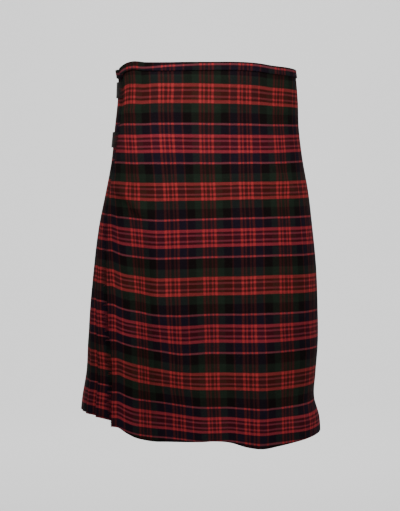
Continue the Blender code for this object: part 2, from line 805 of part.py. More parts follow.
def fastening(place, start_arc, start_level, way, middle_drop, tuck_length, rise_length):
    """A strap with its buckle, from under the over-apron or in the box fold back over the pleats."""
    leather = material_of("strap_leather", (0.02, 0.014, 0.011), 0.45)
    steel = material_of("buckle_steel", (0.55, 0.55, 0.56), 0.3, 1.0)
    frame_arc = start_arc + way * BUCKLE_AT
    bar = BUCKLE_AT - FRAME_LENGTH / 2
    heel = BUCKLE_AT + FRAME_LENGTH / 2
    tab_level = STRAP_REST - STRAP_WALL / 2 + TAB_WALL / 2
    tab_top = tab_level + TAB_WALL / 2
    over_heel = FRAME_LEVEL + FRAME_WIRE + SEAM + STRAP_WALL / 2
    tail_level = tab_top + SEAM + STRAP_WALL / 2
    route = with_steps(
        (
            # distance from the hidden end, level
            (0.0, start_level),
            (tuck_length, start_level),
            (tuck_length + rise_length, STRAP_REST),
            (bar + BAR_EASE, STRAP_REST),
            (heel - BAR_EASE, over_heel),
            (heel + BAR_EASE, over_heel),
            (heel + TAIL_NEAR, tail_level + TAIL_PLAY),
            (heel + TAIL_DOWN, tail_level),
            (heel + STRAP_TAIL, tail_level),
        )
    )
    strap_places = [(start_arc + way * distance, level) for distance, level in route]
    leather_strip("strap_" + place, strap_places, STRAP_WIDTH, STRAP_WALL, middle_drop, leather)
    buckle_frame("buckle_" + place, frame_arc, middle_drop, steel)
    tab_places = []
    for step in range(TAB_STEPS + 1):
        distance = heel - BAR_EASE + TAB_LENGTH * step / TAB_STEPS
        tab_places.append((start_arc + way * distance, tab_level))
    leather_strip("tab_" + place, tab_places, STRAP_WIDTH + 2 * TAB_MARGIN, TAB_WALL, middle_drop, leather)
    keeper_arc = start_arc + way * (heel + KEEPER_AT)
    keeper("keeper_" + place, keeper_arc, middle_drop, tab_top + SEAM, tail_level, leather)
    tongue_level = FRAME_LEVEL + FRAME_WIRE + SEAM + TONGUE_OVER_BAR
    tongue_places = [(start_arc + way * (bar + past), tongue_level + lift) for past, lift in TONGUE]
    leather_strip("tongue_" + place, tongue_places, TONGUE_WIDTH, TONGUE_WALL, middle_drop, steel)


def straps():
    right_level = read_table(APRON_LEVEL, 0.1, 2) - CLOTH / 2 - SEAM - STRAP_WALL / 2
    for place, drop in (("right_waist", WAIST_STRAP_DROP), ("right_hip", HIP_STRAP_DROP)):
        start = edge_arc(drop) + EDGE_TO_STRAP_END
        fastening(place, start, right_level, -1, drop, TUCK, STRAP_RISE)
    left_start = fold_arc(WAIST_STRAP_DROP) - box_gap(WAIST_STRAP_DROP) / 2 + STRAP_START_IN_FOLD
    left_level = STRAP_REST - LOW_IN_FOLD
    fastening("left_waist", left_start, left_level, 1, WAIST_STRAP_DROP, TUCK_IN_FOLD, STRAP_RISE_IN_FOLD)


over_apron()
under_apron()
pleats()
waistband_front()
waistband_back()
fringe()
straps()
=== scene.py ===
import math

import bmesh
import bpy
import numpy as np
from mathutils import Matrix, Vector


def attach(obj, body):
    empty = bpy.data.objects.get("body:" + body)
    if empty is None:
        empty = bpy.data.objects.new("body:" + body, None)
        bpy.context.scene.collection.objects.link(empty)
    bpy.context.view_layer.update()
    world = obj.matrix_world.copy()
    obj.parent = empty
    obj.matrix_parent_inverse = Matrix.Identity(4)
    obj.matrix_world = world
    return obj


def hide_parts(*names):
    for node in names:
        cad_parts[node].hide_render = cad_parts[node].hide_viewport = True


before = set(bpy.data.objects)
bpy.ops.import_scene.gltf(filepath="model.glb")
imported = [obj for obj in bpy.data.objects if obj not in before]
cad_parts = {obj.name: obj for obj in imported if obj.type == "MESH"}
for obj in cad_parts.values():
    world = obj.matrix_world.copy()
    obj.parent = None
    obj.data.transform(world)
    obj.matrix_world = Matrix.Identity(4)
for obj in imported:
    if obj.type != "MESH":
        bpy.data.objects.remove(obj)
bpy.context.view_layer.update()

# Body ring: reach to each side at a drop below the waistband's top edge
GIRTH = (
    # drop, left, right, front, back
    (0.000, 0.1410, 0.1376, 0.0960, 0.1060),
    (0.030, 0.1362, 0.1415, 0.0968, 0.1075),
    (0.055, 0.1375, 0.1440, 0.0975, 0.1090),
    (0.105, 0.1430, 0.1462, 0.1010, 0.1170),
    (0.155, 0.1482, 0.1523, 0.1060, 0.1260),
    (0.205, 0.1570, 0.1612, 0.1110, 0.1330),
    (0.260, 0.1670, 0.1676, 0.1160, 0.1370),
    (0.330, 0.1755, 0.1740, 0.1200, 0.1400),
    (0.390, 0.1810, 0.1760, 0.1230, 0.1430),
    (0.455, 0.1840, 0.1760, 0.1250, 0.1460),
    (0.500, 0.1852, 0.1724, 0.1260, 0.1480),
    (0.545, 0.1918, 0.1702, 0.1270, 0.1500),
    (0.572, 0.1943, 0.1776, 0.1275, 0.1508),
    (0.610, 0.1955, 0.1800, 0.1280, 0.1520),
)
SQUARENESS = 2.3
RING_STEPS = 720
DROP_STEP = 0.0025
LOWEST_DROP = 0.640

# Cloth
CLOTH = 0.0008
SOLID_CLOTH = 0.0010
SEAM = 0.0003
MILLIMETRE = 0.001
LAYER_ROOM = 0.0017
TOP_LINE = (
    # degrees from the front centre, drop of the top edge
    (-180, 0.0045),
    (-130, 0.0065),
    (-90, 0.0090),
    (-74, 0.0092),
    (-66, 0.0086),
    (-58, 0.0010),
    (-49, -0.0022),
    (-40, -0.0004),
    (-30, 0.0002),
    (0, 0.0000),
    (20, 0.0000),
    (31, 0.0013),
    (44, 0.0047),
    (62, 0.0068),
    (79, 0.0085),
    (110, 0.0080),
    (180, 0.0045),
)
THREAD_TOP = 0.0017
THREAD_HEM = 0.5975
DROOP_ENDS = 0.14

# Over-apron
EDGE = (
    # drop, degrees of the fringed edge from the front centre
    (0.000, 66.5),
    (0.100, 70.0),
    (0.180, 72.5),
    (0.230, 69.5),
    (0.300, 62.5),
    (0.385, 56.5),
    (0.455, 52.0),
    (0.610, 46.0),
)
FOLD_UNDER_DEGREES = 104.0
FRINGE_ROOM = 0.004
APRON_HEM = (
    # share of the width from the fringed edge, drop of the hem, drop where the cloth begins to rise
    (0.000, 0.5772, 0.20),
    (0.031, 0.5782, 0.20),
    (0.055, 0.5850, 0.24),
    (0.085, 0.5920, 0.30),
    (0.125, 0.5957, 0.34),
    (0.211, 0.5970, 0.38),
    (0.316, 0.5970, 0.40),
    (0.430, 0.5985, 0.45),
    (0.485, 0.6062, 0.46),
    (0.535, 0.6098, 0.46),
    (0.603, 0.6070, 0.46),
    (0.690, 0.6030, 0.46),
    (0.772, 0.5992, 0.46),
    (0.860, 0.5960, 0.46),
    (1.000, 0.5950, 0.46),
)
APRON_LEVEL = (
    # drop, level at the front, at the fringed edge, at the fold
    (0.000, 0.0055, 0.0074, 0.0053),
    (0.018, 0.0055, 0.0074, 0.0053),
    (0.050, 0.0032, 0.0060, 0.0052),
    (0.160, 0.0028, 0.0060, 0.0052),
    (0.240, 0.0028, 0.0064, 0.0056),
    (0.400, 0.0032, 0.0078, 0.0070),
    (0.610, 0.0040, 0.0095, 0.0090),
)
EDGE_BLEND = (0.02, 0.16)
FOLD_BLEND = (0.72, 0.97)
APRON_COLUMNS = 156
TURN_COLUMNS = 6
RETURN_COLUMNS = 4
APRON_ROWS = 168
APRON_RETURN = 0.014
FOLDS = (
    # x and drop at the upper end, x and drop at the lower end, half width on each side, height
    (-0.1420, 0.190, -0.0960, 0.243, 0.0070, 0.0130, 0.0046),
    (0.1010, 0.160, 0.1400, 0.214, 0.0110, 0.0080, 0.0034),
    (-0.1340, 0.078, -0.0940, 0.074, 0.0045, 0.0045, 0.0012),
    (0.0960, 0.074, 0.1280, 0.076, 0.0045, 0.0045, 0.0010),
    (-0.0800, 0.215, -0.0740, 0.620, 0.0130, 0.0170, 0.0050),
    (-0.1120, 0.250, -0.1100, 0.620, 0.0150, 0.0150, -0.0026),
    (-0.0250, 0.400, -0.0240, 0.620, 0.0180, 0.0180, 0.0032),
    (0.0090, 0.480, 0.0080, 0.620, 0.0090, 0.0090, -0.0022),
    (0.0850, 0.400, 0.0890, 0.620, 0.0230, 0.0230, 0.0050),
    (0.1380, 0.420, 0.1400, 0.620, 0.0170, 0.0170, -0.0016),
    (0.0500, 0.250, 0.0560, 0.420, 0.0220, 0.0220, 0.0026),
)
FOLDS_FADE_IN = (-0.15, 0.35)
FOLDS_FADE_OUT = (0.80, 1.15)
FOLDS_END_Y = 0.02
FRONT_THREAD = 0.0010
THREAD_LEAN = 0.022

# Under-apron
UNDER_LAP = 0.030
UNDER_SHORT_OF_FOLD = 0.050
UNDER_HEM = ((0.00, 0.5760), (0.15, 0.5820), (0.40, 0.5880), (1.00, 0.5890))
UNDER_SINK = ((0.000, 0.0000), (0.150, 0.0000), (0.300, 0.0030), (0.610, 0.0065))
UNDER_SINK_SHARE = 0.25
UNDER_THREADS_AHEAD = 0.020
UNDER_COLUMNS = 60
UNDER_ROWS = 60

# Knife pleats
PLEATS = 20
PLEAT_FORM = (
    # drop, depth of the underfold, rise of the fold edge, gap of the box fold
    (0.000, 0.0110, 0.0052, 0.0050),
    (0.200, 0.0115, 0.0052, 0.0050),
    (0.260, 0.0120, 0.0062, 0.0052),
    (0.340, 0.0125, 0.0074, 0.0056),
    (0.450, 0.0130, 0.0088, 0.0064),
    (0.610, 0.0140, 0.0100, 0.0080),
)
PLEAT_HEM = (
    # share of the way round from the fringed edge, drop
    (-0.08, 0.5760),
    (0.00, 0.5720),
    (0.03, 0.5665),
    (0.08, 0.5630),
    (0.15, 0.5625),
    (0.35, 0.5720),
    (0.60, 0.5850),
    (0.85, 0.5940),
    (1.00, 0.5970),
    (1.08, 0.5970),
)
PLEAT_RISE_FROM = 0.20
SWING = 0.20
SWING_STEP = 2.4
SWING_START = 0.7
SWING_DROPS = (0.200, 0.500)
PLEAT_ROWS = 104
FACE_STEPS = 7
TIP_STEPS = 4
BACK_STEPS = 3
PLEAT_COLUMNS = FACE_STEPS + 2 * TIP_STEPS + BACK_STEPS
BOX_FOLD_LAP = 0.014
BOX_PLAY = 0.0046
BOX_PLAY_DROPS = (0.03, 0.45)
PLEAT_BELLY = 0.0006
LAP_COLUMNS = 4
END_COLUMNS = 5
PLEATS_PER_SETT = 5
PLEATS_START_ACROSS = -0.140

# Waistband
BAND_HEIGHT = 0.0135
BAND_INSIDE = 0.0110
BAND_WALL = 0.0009
BAND_CLEAR = 0.0019
BAND_OVER_PLEATS = 0.0005
BAND_CORNER_REACH = 0.0140
BAND_CORNER_FLARE = 0.0030
BAND_DIP = (0.004, 0.024)
BAND_PAST_EDGE = 0.002
BAND_CORNER = 0.0015
BAND_LEG_ROWS = 7
BAND_CORNER_ROWS = 4
BAND_ROWS = 2 * (BAND_LEG_ROWS + BAND_CORNER_ROWS) + 1
BAND_FRONT_COLUMNS = 130
BAND_BACK_COLUMNS = 200
BAND_LINE = (
    # x, depth of the red line below the band's top edge in front
    (-0.150, 0.0050),
    (-0.125, 0.0085),
    (-0.100, 0.0092),
    (-0.070, 0.0068),
    (-0.030, 0.0050),
    (0.150, 0.0044),
)

# Fringe
STRANDS = 330
STRAND_LENGTH = 0.0094
STRAND_ROOT = 0.0006
STRAND_RADIUS = 0.00042
STRAND_TIP_SHARE = 0.45
STRAND_SIDES = 4
STRAND_CUTS = 3
STRAND_SEED = 7
STRAND_UNEVEN = 0.20
STRAND_UNEVEN_STEPS = (2.1, 0.37)
STRAND_CHANCE = (-0.15, 0.12)
STRAND_STRAY = (-0.0002, 0.0009)
STRAND_SAG = (0.0000, 0.0022)
STRAND_WAVE = (-0.0005, 0.0005)
OUTWARD_PACE = 4.0
DOWNWARD_PACE = 5.0
STRAND_LIFT = 0.0024
STRAND_LIFT_RANGE = (0.001, 0.006)
FRINGE_BELOW_BAND = 0.001
FRINGE_ABOVE_HEM = 0.0005
FRINGE_TRIMMED = (0.560, 0.590)
FRINGE_TRIMMED_SHARE = 0.8

# Straps and buckles
STRAP_WIDTH = 0.025
STRAP_WALL = 0.0016
STRAP_REST = 0.0072
FRAME_WIRE = 0.0013
FRAME_LENGTH = 0.022
FRAME_LEVEL = 0.0099
TAB_WALL = 0.0015
TAB_LENGTH = 0.046
TAB_MARGIN = 0.004
STRAP_TAIL = 0.046
BUCKLE_AT = 0.108
WAIST_STRAP_DROP = 0.0420
HIP_STRAP_DROP = 0.122
TUCK = 0.015
EDGE_TO_STRAP_END = 0.012
STRAP_RISE = 0.018
STRAP_RISE_IN_FOLD = 0.0018
STRAP_START_IN_FOLD = 0.0022
TUCK_IN_FOLD = 0.0002
LOW_IN_FOLD = 0.0018
BAR_EASE = 0.002
TAIL_NEAR = 0.011
TAIL_DOWN = 0.018
TAIL_PLAY = 0.0006
TAIL_TAPER = 0.006
TAIL_ROUNDNESS = 0.75
STRIP_COLUMNS = 6
STRAP_STEPS = 72
TAB_STEPS = 24
LEATHER_EDGE = 0.00035
LEATHER_EDGE_DEGREES = 50
TONGUE_EDGE = 0.0005
KEEPER_EDGE = 0.0003
RIGHT_LEVEL_DROP = 0.1
WELD = 1e-6
FLAT_DEGREES = 30
SKEW_DEGREES = 50
SHARP_DEGREES = 35
STITCH_PITCH = 0.0032
STITCH_SHARE = 0.68
STITCH_RADIUS = 0.00034
STITCH_FLATNESS = 0.6
STITCH_SIDES = 6
STITCH_FULLNESS = 0.6
STITCH_ROUNDING = 0.35
STITCH_INSET = 0.0030
STITCH_FROM_RISE = 0.004
STITCH_FROM_BAR = 0.003
STITCH_TAIL_START = 0.030
STITCH_TAIL_END = 0.0040
TAB_STITCH_INSET = 0.0018
TAB_STITCH_START = 0.004
TAB_STITCH_END = 0.0025

# Tartan: half a sett along the drop, mirrored at both ends, and the same across at a smaller scale
HALF_SETT_DOWN = 0.07575
HALF_SETT_ACROSS = 0.05965
FIRST_GROUP_DROP = 0.0483
CHART = (
    # end of the stripe as a share of half a sett, colour
    (0.040, "green_gap"),
    (0.082, "thin_red"),
    (0.126, "green_gap"),
    (0.189, "red"),
    (0.371, "green"),
    (0.581, "black"),
    (0.618, "pink"),
    (0.811, "blue"),
    (0.874, "blue_red"),
    (0.918, "blue_gap"),
    (0.960, "blue_thin_red"),
    (1.000, "blue_gap"),
)
# Where the threads lie on the front, against those of cloth that hangs plainly, in millimetres
THREAD_PLACES = (-0.145, -0.114, -0.080, -0.044, 0.005, 0.065, 0.100, 0.161)
THREADS_DOWN = (
    # drop, then how much further down the cloth the thread there is, at each place
    (0.028, 8.0, -1.0, 1.0, 1.0, 0.0, -1.5, -1.5, 0.0),
    (0.075, -1.0, -4.0, -2.5, -2.5, -3.0, -4.0, -4.0, -3.0),
    (0.140, -4.0, -5.0, -4.5, -4.5, -5.0, -5.0, -5.0, -2.5),
    (0.200, -2.5, -4.5, -5.0, -4.5, -4.0, -2.5, -2.5, -1.5),
    (0.260, 1.5, -1.5, -4.0, -3.0, -1.5, 0.0, 0.5, 0.5),
    (0.320, 2.5, -0.5, -3.0, -2.5, -0.5, 0.5, 1.0, 0.0),
    (0.375, 3.0, 2.5, -2.5, -2.5, -0.5, 0.0, 0.5, -0.5),
    (0.425, 3.5, 4.5, 1.0, -2.0, 1.0, 0.5, 0.0, 0.5),
    (0.470, 6.0, 9.0, 6.0, -0.5, 0.5, 0.5, 0.5, 1.0),
    (0.510, 7.5, 10.5, 9.5, 4.5, 1.0, 4.0, 3.0, 1.0),
    (0.540, 10.5, 14.0, 15.0, 9.5, 4.0, 8.0, 6.5, 3.0),
    (0.575, 11.5, 15.0, 16.5, 13.0, 7.0, 12.5, 12.0, 5.5),
    (0.600, 17.0, 20.5, 22.0, 18.5, 12.5, 18.0, 17.5, 11.0),
)
THREADS_ACROSS = (
    # drop, then how much further across the cloth the thread there is, at each place
    (0.028, 9.5, 8.0, 6.0, 2.5, 1.0, 1.5, 2.0, 1.0),
    (0.075, 13.0, 11.0, 8.0, 5.0, 2.0, 2.0, 2.5, 5.0),
    (0.140, 10.0, 8.5, 6.0, 3.5, 3.0, 2.0, 1.0, 1.0),
    (0.200, 6.0, 4.5, 2.0, 1.5, 2.0, 2.0, 0.5, 0.0),
    (0.260, -2.0, -1.0, 1.0, 0.0, 1.5, 1.0, -1.0, -3.5),
    (0.320, -8.0, -5.0, 0.0, 0.5, 1.5, 1.5, -0.5, -6.0),
    (0.375, -13.0, -8.5, 0.0, 0.5, 2.0, 2.0, 0.5, -6.5),
    (0.425, -13.5, -10.0, -3.0, 0.0, 1.5, 2.5, 1.0, -6.0),
    (0.470, -13.5, -11.5, -5.0, -1.5, 1.5, 2.5, 0.5, -9.5),
    (0.510, -13.5, -12.0, -6.0, -1.5, 1.5, 2.5, 1.0, -9.5),
    (0.540, -13.0, -12.0, -8.5, -4.5, 0.5, 2.0, 0.5, -6.5),
    (0.575, -13.0, -12.0, -9.0, -5.0, -0.5, 2.0, 1.0, -3.0),
    (0.600, -13.0, -12.0, -9.5, -5.5, -1.0, 2.0, 1.0, -3.0),
)
PLEAT_THREADS_FADE = (0.05, 0.50)
PLEAT_THREADS_DOWN = (
    # drop, how much further down for the first pleats beside the over-apron
    (0.310, 0.0),
    (0.375, 1.5),
    (0.422, 1.0),
    (0.455, 4.5),
    (0.490, 5.0),
    (0.515, 9.5),
    (0.550, 12.0),
    (0.610, 13.0),
)
THREAD = 0.00052
BAND_STRIPE = 0.5995 * HALF_SETT_DOWN
BORDER = 0.00085

# Shades, as they look on a screen
COLOURS = {
    # ground, red of the crosswise threads, how much of a line crosswise, how much of one lengthwise,
    # how far lengthwise lines show where they cross it
    "green": ((23, 31, 23), (118, 34, 34), 0.0, 0.0, 0.60),
    "green_gap": ((30, 23, 17), (78, 16, 15), 0.32, 0.0, 0.80),
    "red": ((32, 16, 14), (104, 36, 36), 1.0, 1.0, 0.80),
    "thin_red": ((32, 16, 14), (84, 34, 36), 1.0, 0.80, 0.80),
    "black": ((14, 9, 9), (96, 42, 48), 0.0, 0.0, 0.36),
    "pink": ((22, 12, 16), (90, 42, 49), 0.95, 0.70, 0.50),
    "blue": ((21, 15, 25), (118, 30, 38), 0.0, 0.0, 0.72),
    "blue_red": ((26, 13, 19), (108, 34, 42), 1.0, 1.0, 0.80),
    "blue_thin_red": ((26, 13, 19), (90, 34, 43), 1.0, 0.85, 0.80),
    "blue_gap": ((24, 13, 20), (78, 12, 20), 0.32, 0.0, 0.80),
}
RED_BOTH = (150, 42, 44)
RED_LENGTHWISE = (64, 24, 24)
LEATHER = (13, 10, 9)
LEATHER_WORN = (26, 20, 18)
STEEL = (196, 196, 198)
STEEL_SCUFFED = (150, 150, 154)
WAXED_THREAD = (34, 31, 30)
WAXED_THREAD_PALE = (62, 57, 54)

# Stage, lamps and camera
FLOOR_GREY = 0.60
FLOOR_GREY_PALE = 0.62
FLOOR_HEIGHT = -1.05
FLOOR_REACH = 12.0
FLOOR_NEAR = -9.0
FLOOR_FAR = 3.5
WALL_CURVE = 2.0
WALL_CURVE_STEPS = 24
WALL_ABOVE_CURVE = 6.0
LAMPS = (
    # name, place, what it points at, width and height, watts
    ("key_light", (-0.70, -0.90, 0.45), (0.0, 0.0, 0.0), (0.4, 0.4), 4.3),
    ("side_light", (0.70, -1.05, 0.22), (0.0, 0.0, -0.20), (0.4, 0.4), 12.6),
    ("top_light", (-0.25, -0.55, 0.35), (0.0, 0.0, 0.0), (0.3, 0.3), 5.0),
    ("wall_light", (0.0, 1.6, 3.6), (0.0, 5.2, -0.2), (5.0, 1.0), 575.0),
)
WORLD_STRENGTH = 0.10
CAMERA_PLACE = (-0.0095, -3.105, -0.138)
CAMERA_DOWN_DEGREES = 3.18
CAMERA_LENS = 134.2
CAMERA_SENSOR = 36.0


def read_table(table, value, column=1):
    """One column of a table at each value, eased through its rows."""
    places = np.array([row[0] for row in table])
    heights = np.array([row[column] for row in table])
    value = np.clip(value, places[0], places[-1])
    slopes = np.gradient(heights, places)
    index = np.clip(np.searchsorted(places, value, side="right") - 1, 0, len(places) - 2)
    span = places[index + 1] - places[index]
    share = (value - places[index]) / span
    square = share**2
    cube = share**3
    return (
        (2 * cube - 3 * square + 1) * heights[index]
        + (cube - 2 * square + share) * span * slopes[index]
        + (3 * square - 2 * cube) * heights[index + 1]
        + (cube - square) * span * slopes[index + 1]
    )


def rise(value, start, end):
    """0 before start, 1 after end and a soft step between."""
    share = np.clip((value - start) / (end - start), 0.0, 1.0)
    return share * share * (3 - 2 * share)


class Body:
    """The closed sections that the cloth hangs round, by drop and by arc length from the front centre."""

    def __init__(self):
        self.drops = np.arange(-4 * DROP_STEP, LOWEST_DROP, DROP_STEP)
        self.angle = np.linspace(-math.pi, math.pi, RING_STEPS + 1)
        reaches = [read_table(GIRTH, self.drops, column)[:, None] for column in range(1, 5)]
        left, right, front, back = reaches
        power = 2 / SQUARENESS
        side = np.sin(self.angle)
        ahead = np.cos(self.angle)
        self.x = np.sign(side) * np.abs(side) ** power * np.where(side < 0, left, right)
        self.y = -np.sign(ahead) * np.abs(ahead) ** power * np.where(ahead < 0, back, front)
        steps = np.hypot(np.diff(self.x), np.diff(self.y))
        self.run = np.concatenate([np.zeros((len(self.drops), 1)), np.cumsum(steps, axis=1)], axis=1)
        self.length = self.run[:, -1].copy()
        self.run -= self.run[:, RING_STEPS // 2][:, None]
        along_x = np.roll(self.x[:, :-1], -1, axis=1) - np.roll(self.x[:, :-1], 1, axis=1)
        along_y = np.roll(self.y[:, :-1], -1, axis=1) - np.roll(self.y[:, :-1], 1, axis=1)
        size = np.hypot(along_x, along_y)
        self.out_x = np.hstack([along_y / size, (along_y / size)[:, :1]])
        self.out_y = np.hstack([-along_x / size, (-along_x / size)[:, :1]])
        edge = [self.arc_in_row(row, -read_table(EDGE, drop)) for row, drop in enumerate(self.drops)]
        self.edge = np.array(edge) + FRINGE_ROOM
        fold = [self.arc_in_row(row, FOLD_UNDER_DEGREES) for row in range(len(self.drops))]
        self.fold = np.array(fold)

    def arc_in_row(self, row, degrees):
        """Arc length at an angle from the front centre, in one section."""
        return float(np.interp(math.radians(degrees), self.angle, self.run[row]))

    def edge_arc(self, drop):
        """Arc length of the over-apron's fringed edge."""
        return np.interp(drop, self.drops, self.edge)

    def fold_arc(self, drop):
        """Arc length of the middle of the box fold."""
        return np.interp(drop, self.drops, self.fold)

    def pleated_width(self, drop):
        """Arc length from the fringed edge round the back to the middle of the box fold."""
        return np.interp(drop, self.drops, self.length - self.fold + self.edge)

    def at(self, arc, level, drop):
        """Points in space at arc lengths, levels and drops."""
        values = [np.asarray(value, dtype=float) for value in (arc, level, drop)]
        arc, level, drop = np.broadcast_arrays(*values)
        low = np.clip(((drop - self.drops[0]) / DROP_STEP).astype(int), 0, len(self.drops) - 2)
        share = (drop - self.drops[low]) / DROP_STEP
        points = np.empty((len(arc), 3))
        for row in np.unique(low):
            here = low == row
            ends = [self.in_row(near, arc[here], level[here]) for near in (row, row + 1)]
            points[here, :2] = ends[0] + share[here][:, None] * (ends[1] - ends[0])
        points[:, 2] = -drop
        return points

    def in_row(self, row, arc, level):
        """Plan places at arc lengths and levels, in one section."""
        run = self.run[row]
        arc = (arc - run[0]) % self.length[row] + run[0]
        out_x = np.interp(arc, run, self.out_x[row])
        out_y = np.interp(arc, run, self.out_y[row])
        size = np.hypot(out_x, out_y)
        x = np.interp(arc, run, self.x[row]) + level * out_x / size
        y = np.interp(arc, run, self.y[row]) + level * out_y / size
        return np.column_stack([x, y])

    def top_at(self, arc):
        """Drop of the waistband's top edge at arc lengths of the top section."""
        top_row = int(round(-self.drops[0] / DROP_STEP))
        run = self.run[top_row]
        arc = (arc - run[0]) % self.length[top_row] + run[0]
        return read_table(TOP_LINE, np.degrees(np.interp(arc, run, self.angle)))


body = Body()


def thread_drop(down, top, hem, rise_from):
    """Drop of the cross thread that lies so far down the cloth, from the top edge's drop and the hem's."""
    drooped = down + top * (1 - rise(down, 0.0, DROOP_ENDS))
    share = np.maximum(down - rise_from, 0.0) / (THREAD_HEM - rise_from)
    return np.where(down > rise_from, rise_from + share * (hem - rise_from), drooped)


def finish_mesh(name, shape):
    """An object of a form whose faces are all shaded smooth."""
    for face in shape.faces:
        face.smooth = True
    mesh = bpy.data.meshes.new(name)
    shape.to_mesh(mesh)
    shape.free()
    piece = bpy.data.objects.new(name, mesh)
    bpy.context.scene.collection.objects.link(piece)
    return piece


def cloth(name, columns, rows, wall, shape):
    """A sheet of cloth with its wall. shape(column, row) gives its points and the places of their threads:
    across for the faces that begin at a column, across for those that end there, and down."""
    sheet = bmesh.new()
    bmesh.ops.create_grid(sheet, x_segments=columns, y_segments=rows, size=0.5)
    flat = np.array([tuple(vert.co) for vert in sheet.verts])
    column = np.rint((flat[:, 0] + 0.5) * columns).astype(int)
    row = np.rint((0.5 - flat[:, 1]) * rows).astype(int)
    points, across, across_before, down = shape(column, row)
    for vert, point in zip(sheet.verts, points):
        vert.co = point
    threads = sheet.loops.layers.uv.new("threads")
    for face in sheet.faces:
        corners = [loop.vert.index for loop in face.loops]
        first = min(column[index] for index in corners)
        for loop, index in zip(face.loops, corners):
            place = across[index] if column[index] == first else across_before[index]
            loop[threads].uv = (place, down[index])
    return thicken(finish_mesh(name, sheet), wall)


def thicken(piece, wall):
    """Gives a sheet its wall, half to each side."""
    solid = piece.modifiers.new("wall", "SOLIDIFY")
    solid.thickness = wall
    solid.offset = 0.0
    solid.use_even_offset = True
    return piece


def fold_relief(x, drop):
    """How far the over-apron's soft folds lift it at places on the front."""
    total = np.zeros_like(x)
    for top_x, top_drop, low_x, low_drop, before, after, height in FOLDS:
        run_x = low_x - top_x
        run_drop = low_drop - top_drop
        length = math.hypot(run_x, run_drop)
        along = ((x - top_x) * run_x + (drop - top_drop) * run_drop) / length**2
        away = ((x - top_x) * run_drop - (drop - top_drop) * run_x) / length
        fade = rise(along, *FOLDS_FADE_IN) * (1 - rise(along, *FOLDS_FADE_OUT))
        total += height * fade * np.exp(-((away / np.where(away < 0, before, after)) ** 2))
    return total


def apron_level(share, arc, drop):
    """Level of the over-apron's middle surface at shares of its width from the fringed edge."""
    front, edge, fold = (read_table(APRON_LEVEL, drop, column) for column in (1, 2, 3))
    level = front + (edge - front) * (1 - rise(share, *EDGE_BLEND))
    level = level + (fold - front) * rise(share, *FOLD_BLEND)
    plan = body.at(arc, 0.0, drop)
    return level + np.where(plan[:, 1] < FOLDS_END_Y, fold_relief(plan[:, 0], drop), 0.0)


def apron_drop(share, down):
    """Drop of the over-apron's threads at shares of its width from the fringed edge."""
    top_arc = body.edge_arc(0.0) + share * (body.fold_arc(0.0) - body.edge_arc(0.0))
    hem, rise_from = (read_table(APRON_HEM, share, column) for column in (1, 2))
    return thread_drop(down, body.top_at(top_arc), hem, rise_from)


def shifted_threads(table, x, drop):
    """How far the thread at places on the front lies from that of plain cloth, in metres."""
    drops = [row[0] for row in table]
    levels = [read_table(list(zip(THREAD_PLACES, row[1:])), x) for row in table]
    total = np.zeros_like(x)
    for index, level in enumerate(levels):
        weights = np.zeros(len(table))
        weights[index] = 1.0
        total += level * read_table(list(zip(drops, weights)), drop)
    return total * MILLIMETRE


def threads_across(arc, drop):
    """Place of the lengthwise thread at arc lengths of the apron, from the middle one in front."""
    return arc - FRONT_THREAD - THREAD_LEAN * drop


def over_apron_shape(column, row):
    """The outer front, from its fringed edge to the turned-back cloth in the box fold."""
    turn = LAYER_ROOM / 2
    share = np.minimum(column / APRON_COLUMNS, 1.0)
    down = THREAD_TOP + row / APRON_ROWS * (THREAD_HEM - THREAD_TOP)
    drop = apron_drop(share, down)
    start = body.edge_arc(drop)
    end = body.fold_arc(drop) - read_table(PLEAT_FORM, drop, 3) / 2 - turn
    arc = start + share * (end - start)
    level = apron_level(share, arc, drop)
    round_turn = np.clip((column - APRON_COLUMNS) / TURN_COLUMNS, 0.0, 1.0) * math.pi
    after_turn = np.maximum(column - APRON_COLUMNS - TURN_COLUMNS, 0) / RETURN_COLUMNS * APRON_RETURN
    turned_arc = arc + turn * np.sin(round_turn) - after_turn
    turned_level = level - turn * (1 - np.cos(round_turn))
    across = threads_across(arc, drop) + round_turn * turn + after_turn
    x = body.at(arc, level, drop)[:, 0]
    across = across + shifted_threads(THREADS_ACROSS, x, drop)
    down = down + shifted_threads(THREADS_DOWN, x, drop)
    return body.at(turned_arc, turned_level, drop), across, across, down


def under_apron_shape(column, row):
    """The inner front, from under the pleats at its far edge to its seam short of the box fold."""
    share = column / UNDER_COLUMNS
    down = THREAD_TOP + row / UNDER_ROWS * (THREAD_HEM - THREAD_TOP)
    top_arc = body.edge_arc(0.0) + UNDER_LAP
    top_arc = top_arc + share * (body.fold_arc(0.0) - UNDER_SHORT_OF_FOLD - top_arc)
    drop = thread_drop(down, body.top_at(top_arc), read_table(UNDER_HEM, share), PLEAT_RISE_FROM)
    start = body.edge_arc(drop) + UNDER_LAP + SEAM
    end = body.fold_arc(drop) - UNDER_SHORT_OF_FOLD
    arc = start + share * (end - start)
    sink = read_table(UNDER_SINK, drop) * rise(share, 0.0, UNDER_SINK_SHARE)
    across = threads_across(arc, drop) + UNDER_THREADS_AHEAD
    return body.at(arc, -sink, drop), across, across, down


